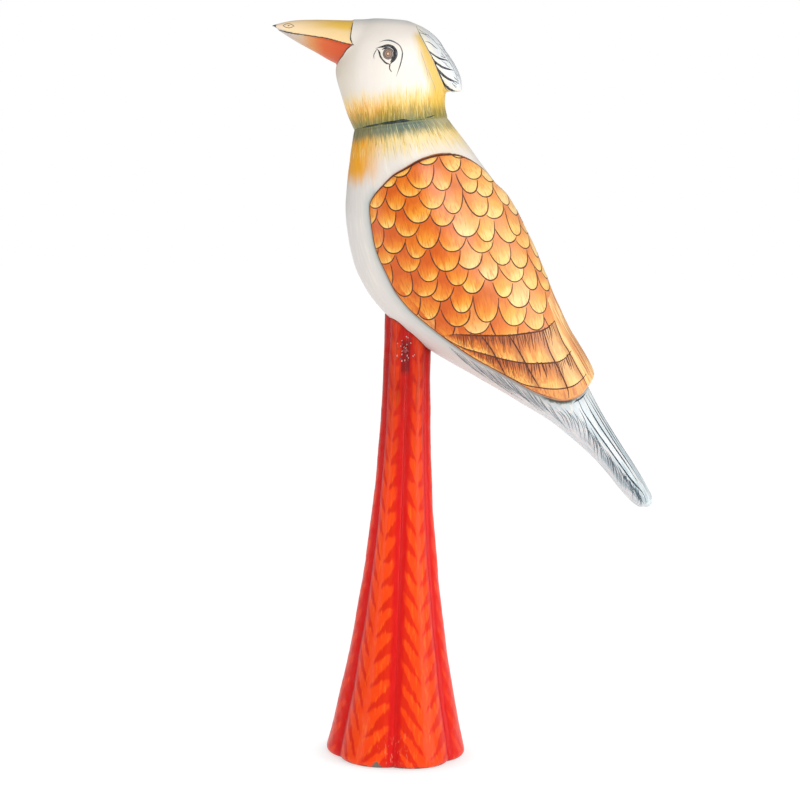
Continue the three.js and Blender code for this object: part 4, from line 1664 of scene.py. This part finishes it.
def bristle_paint():
    paint = Paint("bristle_paint", roughness=0.42, coat=0.25, coat_roughness=0.25)
    mottle = paint.noise((0.9, 0.9, 0.3), 3)
    tone = paint.field("tone") + (mottle - 0.5) * 0.2
    colour = paint.ramp(tone, [
        (0.0, rgb(74, 96, 92)), (0.18, rgb(116, 118, 66)), (0.34, rgb(166, 142, 56)),
        (0.52, rgb(226, 182, 80)), (0.72, rgb(246, 206, 110)), (1.0, rgb(248, 232, 190)),
    ])
    paint.bump(mottle, 0.03, 0.4)
    return paint.finish(colour)


def crack_lines(strokes, surface):
    """The joint's open crack, dark in the middle and broken towards the nape."""
    for points, width in (
        (
            [(-24.0, 259.2), (-22.9, 259.5), (-20.4, 260.2), (-17.0, 261.0), (-13.4, 261.9)],
            [0.45, 0.6, 0.75, 0.8, 0.85],
        ),
        (
            [(-14.2, 261.7), (-9.5, 262.5), (-6.0, 262.9), (-3.9, 263.3), (-0.6, 263.4)],
            [0.85, 1.1, 1.3, 1.5, 0.9],
        ),
        ([(-1.4, 263.4), (1.4, 263.7), (3.4, 264.2)], [0.8, 1.1, 0.6]),
        ([(5.0, 265.0), (6.6, 265.3), (8.4, 266.1)], [0.5, 0.6, 0.35]),
    ):
        draw_beside(strokes, surface, points, width)


# ------------------------------------------------------------------ tail lines

# The line along the tail's upper edge, the lines above it, and the two edges of the flank.
TAIL_RIDGE = [
    (69.4, 153.4), (70.8, 152.0), (72.7, 148.2), (78.2, 140.5), (84.9, 131.7), (90.4, 124.4),
    (93.7, 120.2), (98.2, 115.4), (99.8, 112.4), (100.2, 110.4),
]
TAIL_UPPER = [
    [(72.6, 154.1), (76.0, 148.0), (80.4, 141.3), (86.4, 133.2), (91.0, 127.0), (96.1, 119.7)],
    [(73.7, 154.5), (78.2, 147.6), (83.4, 139.6), (88.8, 131.8), (94.2, 124.4), (98.2, 118.4)],
    [(74.6, 154.9), (79.2, 147.6), (84.6, 139.4), (89.8, 131.8)],
]
BELLY_EDGE = [
    (20, 163.4), (36, 156.4), (51, 148.4), (59.0, 143.4), (67.1, 138.0), (73.6, 132.6), (81.4, 124.8),
    (89.0, 116.4), (94.5, 110.8), (98.4, 108.6),
]
FLANK_TOP = [
    (15, 175.0), (27, 167.8), (38, 162.6), (50, 156.6), (58, 153.0), (64, 151.8), (69.6, 151.4),
    (73.6, 145.4), (80.0, 136.6), (87.0, 127.6), (93.4, 119.2), (98.4, 113.2),
]


def tail_lines(strokes, surface):
    def draw(points, width, thin=0.3, run=0.3, **look):
        draw_beside(strokes, surface, points, width, thin, run, **look)

    draw([(73.9, 155.6), (71.6, 153.6), (69.6, 152.6), (68.4, 151.6)], [0.5, 0.8, 1.0, 0.6])
    draw(TAIL_RIDGE, [0.9, 0.9, 0.8, 0.7, 0.65, 0.65, 0.7, 0.95, 1.1, 0.5])
    for line in TAIL_UPPER:
        draw(line, 1.15)
    for inset, last in ((0.9, 118.5), (2.6, 122.0)):
        path = [(76.4, 155.4), (84.6, 143.4), (93.4, 130.0), (96.4 + (127.0 - last) * 0.62, last)]
        draw_over(strokes, surface, path, [inset * 1.25, inset], 0.75, 0.1)
    top = curve_through(FLANK_TOP, 200)
    low = curve_through(BELLY_EDGE, 200)
    # Long thin strokes lean back along the body under the wing, and steepen towards the tail's tip.
    count = 84
    for n in range(count):
        place = np.clip((n + rng.uniform(-0.35, 0.35)) / count, 0, 1)
        if place < 0.12 and rng.uniform() < 0.5:
            continue
        lead = 0.3 * (1 - place) + 0.1
        start = top[int(place * 199)]
        end = low[int(min(place * 0.97 + lead * 0.55 + 0.02, 1) * 199)]
        first = rng.uniform(0, 0.3 if place > 0.3 else 0.12)
        last = rng.uniform(0.5, 0.8) if place < 0.6 else rng.uniform(0.6, 0.96)
        a = start + (end - start) * first
        c = start + (end - start) * last
        bow = np.array([-0.35, -0.5]) * np.linalg.norm(c - a) * 0.14
        middle = (a + c) / 2 - bow * (1 if place > 0.45 else -0.4)
        width = rng.uniform(0.26, 0.42)
        draw([a, middle, c], [width, width * 0.9, width * 0.5], tone=float(rng.uniform(0.0, 0.4)))
    # Denser dark strokes at the tip.
    for _ in range(26):
        x = rng.uniform(90, 98.4)
        start = np.array([x, np.interp(x, *zip(*TAIL_RIDGE)) - rng.uniform(0.5, 3)])
        line = [start, start + (0.5, -1.9), start + (1.6, -3.6)]
        draw(line, rng.uniform(0.3, 0.6), tone=rng.uniform(0.1, 0.6))


# ------------------------------------------------------------------ nail cover

NAIL_SPOT = (-0.5, 170.6)
DROPS = 30
DROP_SPREAD = 4.2


def nail_cover(surface):
    """Small hard drops of lacquer round the covered nail. The first and largest covers its head."""
    points = np.zeros((0, 3))
    faces = []
    painted_glints = []
    rings, around = 7, 14
    angle = np.linspace(0, 2 * math.pi, around, endpoint=False)
    for n in range(DROPS):
        turn = rng.uniform(0, 2 * math.pi)
        away = DROP_SPREAD * math.sqrt(rng.uniform(0.02, 1)) * (n > 0)
        size = rng.uniform(0.18, 0.36) if n else 1.2
        spot = NAIL_SPOT + away * np.array([math.cos(turn), 1.3 * math.sin(turn)])
        places, normals = surface.beside(spot[None])
        normal = normals[0]
        side = np.cross(normal, [0, 0, 1.0])
        side /= np.linalg.norm(side)
        up = np.cross(side, normal)
        grid = []
        for tilt in np.linspace(-0.5, 1.35, rings):
            reach = math.cos(tilt) * (1 + 0.12 * np.sin(2 * angle + turn))
            ring = np.cos(angle)[:, None] * side + 1.25 * np.sin(angle)[:, None] * up
            grid.append(places[0] + size * reach[:, None] * ring + normal * size * 0.55 * math.sin(tilt))
        more = with_hubs(np.array(grid))
        faces += [tuple(v + len(points) for v in face) for face in tube_faces(rings, around)]
        points = np.vstack([points, more])
        # Most small drops are marked pale: a painted highlight in place of glints of light on them.
        painted_glints += [float(n > 0 and rng.uniform() < 0.6)] * len(more)
    return make_closed("nail_cover", points, faces, {"tone": painted_glints})


def cover_paint():
    paint = Paint("cover_paint", roughness=0.12, coat=1.0, coat_roughness=0.03)
    mottle = paint.noise((0.8, 0.8, 0.8), 3)
    colour = paint.mix(paint.band(mottle, 0.35, 0.7), rgb(84, 8, 8), rgb(176, 30, 14))
    # Painted highlight: drops marked pale are lightened in place of glints on the glossy lacquer.
    colour = paint.mix(paint.field("tone") * 0.5, colour, rgb(240, 200, 190))
    paint.bump(mottle, 0.08, 0.5)
    return paint.finish(colour)


# ------------------------------------------------------------------ hidden parts, floor, light and camera


def wood_grain():
    paint = Paint("dowel_wood", roughness=0.6, coat=0.0)
    grain = paint.noise((1.6, 1.6, 0.08), 4)
    colour = paint.mix(grain, rgb(196, 158, 112), rgb(150, 110, 70))
    paint.bump(grain, 0.1, 0.6)
    return paint.finish(colour)


def nail_steel():
    paint = Paint("nail_steel", roughness=0.35, coat=0.0)
    paint.shader.inputs["Metallic"].default_value = 1.0
    drawn = paint.noise((3, 0.3, 0.3), 3)
    colour = paint.mix(drawn, rgb(150, 150, 152), rgb(184, 184, 186))
    paint.bump(drawn, 0.03, 0.4)
    return paint.finish(colour)


def floor_paint():
    """Pale paper that glows, as painted light, ever brighter away from the object up to the backdrop's white.
    """
    paint = Paint("floor_paint", roughness=0.6, coat=0.0)
    paint.shader.inputs["Specular IOR Level"].default_value = 0.1
    distance = paint.node("ShaderNodeVectorMath", operation="LENGTH")
    paint.join(paint.place, distance.inputs[0])
    glow = paint.band(Amount(paint, distance.outputs["Value"]) / MM, 8, 40)
    mottle = paint.noise((0.01, 0.01, 0.01), 2)
    paint.shader.inputs["Emission Color"].default_value = (1, 1, 1, 1)
    paint.join(glow * 0.98, paint.shader.inputs["Emission Strength"])
    pale = paint.mix(mottle, (0.93, 0.93, 0.93), (0.95, 0.95, 0.95))
    return paint.finish(paint.mix(glow, pale, (0.1, 0.1, 0.1)))


def add_floor():
    """A wide pale floor."""
    turn = np.linspace(0, 2 * math.pi, 64, endpoint=False)
    radii = np.array([4000, 2000, 900, 300, 100])
    grid = np.array([np.stack([r * np.cos(turn), r * np.sin(turn), np.full(64, -0.2)], 1) for r in radii])
    points = np.vstack([grid.reshape(-1, 3), [[0, 0, -0.2]]])
    obj = make_object("floor", points, tube_faces(len(radii), 64, first_cap=False))
    obj.data.flip_normals()
    obj.data.materials.append(floor_paint())


def add_light(name, place, aim, size, power, colour=(1, 1, 1)):
    light = bpy.data.lights.new(name, "AREA")
    light.shape = "RECTANGLE"
    light.size = size[0] * MM
    light.size_y = size[1] * MM
    light.energy = power
    light.color = colour
    obj = bpy.data.objects.new(name, light)
    bpy.context.collection.objects.link(obj)
    obj.location = Vector(place) * MM
    obj.rotation_euler = (Vector(aim) * MM - obj.location).to_track_quat("-Z", "Y").to_euler()


def add_lights():
    world = bpy.data.worlds.new("studio")
    world.use_nodes = True
    # The backdrop looks white, and lights the bird only softly, as a studio's walls do.
    nodes = world.node_tree.nodes
    background = nodes["Background"]
    background.inputs["Color"].default_value = (1, 1, 1, 1)
    seen = nodes.new("ShaderNodeLightPath")
    level = nodes.new("ShaderNodeMapRange")
    level.inputs["To Min"].default_value = 0.34
    level.inputs["To Max"].default_value = 1.0
    world.node_tree.links.new(seen.outputs["Is Camera Ray"], level.inputs["Value"])
    world.node_tree.links.new(level.outputs["Result"], background.inputs["Strength"])
    bpy.context.scene.world = world
    add_light("right_softbox", (620, -260, 330), (20, 0, 190), (420, 760), 2.4)
    add_light("front_softbox", (260, -760, 520), (0, 0, 170), (380, 380), 2.8)
    add_light("left_softbox", (-620, -420, 360), (0, 0, 150), (260, 620), 1.0)
    bpy.context.scene.view_settings.view_transform = "Standard"


def add_camera():
    """A long lens a little above the neck's height, looking slightly down, with a slight roll."""
    camera = bpy.data.cameras.new("camera")
    camera.lens = 99.6
    camera.sensor_width = 36
    camera.dof.use_dof = False
    obj = bpy.data.objects.new("camera", camera)
    bpy.context.collection.objects.link(obj)
    obj.location = Vector((26.9, -910.4, 245.8)) * MM
    middle = Vector((-2.5, 0, 149.0)) * MM
    roll = Matrix.Rotation(math.radians(1.75), 3, "Z")
    obj.rotation_euler = ((middle - obj.location).to_track_quat("-Z", "Y").to_matrix() @ roll).to_euler()
    bpy.context.scene.camera = obj


# ------------------------------------------------------------------ building


def finish_piece(obj, material, slot, *nodes):
    """Gives a piece its paint, puts it on the body, and hides the CAD nodes it stands in for, if any; slot is
    not used.
    """
    obj.data.materials.append(material)
    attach(obj, BODY)
    if nodes:
        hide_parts(*nodes)


def finish_lines(name, material, slot, draw, *surfaces):
    """Draws a group of painted lines, and makes one piece of them."""
    strokes = Strokes()
    draw(strokes, *surfaces)
    finish_piece(strokes.build(name), material, slot)


add_camera()
add_lights()
add_floor()

column = fluted_column()
finish_piece(column, column_lacquer(), "column_lacquer", "column_stand")
body = torso()
finish_piece(body, body_paint(), "body_paint", "body_with_tail")
skull = head()
finish_piece(skull, head_paint(), "body_paint", "head_with_beak")
wing_material = wing_paint()
wing_ink = ink("wing_ink", rgb(74, 28, 10), rgb(160, 84, 36))
head_ink = ink("head_ink", rgb(34, 30, 32), rgb(150, 158, 164))
tail_ink = ink("tail_ink", rgb(36, 48, 56), rgb(130, 158, 172))
crack_ink = ink("crack_ink", rgb(30, 38, 36), rgb(86, 104, 100))
iris_material = iris_paint()
bristle_material = bristle_paint()
for side, word in ((LEFT, "left"), (RIGHT, "right")):
    rng = np.random.default_rng(STROKE_SEED)
    flank = wing(f"wing_{word}", side)
    finish_piece(flank, wing_material, "wing_paint", "body_with_tail")
    on_wing = Surface(flank, side)
    on_head = Surface(skull, side)
    on_body = Surface(body, side)
    finish_lines(f"wing_lines_{word}", wing_ink, "wing_paint", wing_lines, on_wing)
    finish_lines(f"head_lines_{word}", head_ink, "body_paint", head_lines, on_head)
    finish_piece(iris(f"iris_{word}", on_head), iris_material, "body_paint")
    finish_lines(f"joint_crack_{word}", crack_ink, "body_paint", crack_lines, on_head)
    finish_lines(f"neck_bristles_{word}", bristle_material, "body_paint", neck_bristles, on_body, on_head)
    finish_lines(f"tail_lines_{word}", tail_ink, "body_paint", tail_lines, on_body)
finish_piece(nail_cover(Surface(column, LEFT)), cover_paint(), "filler", "nail_hole_filler")

wood = wood_grain()
for name, material in (("neck_dowel", wood), ("stand_dowel", wood), ("stand_nail", nail_steel())):
    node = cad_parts[name]
    node.data.materials.clear()
    node.data.materials.append(material)
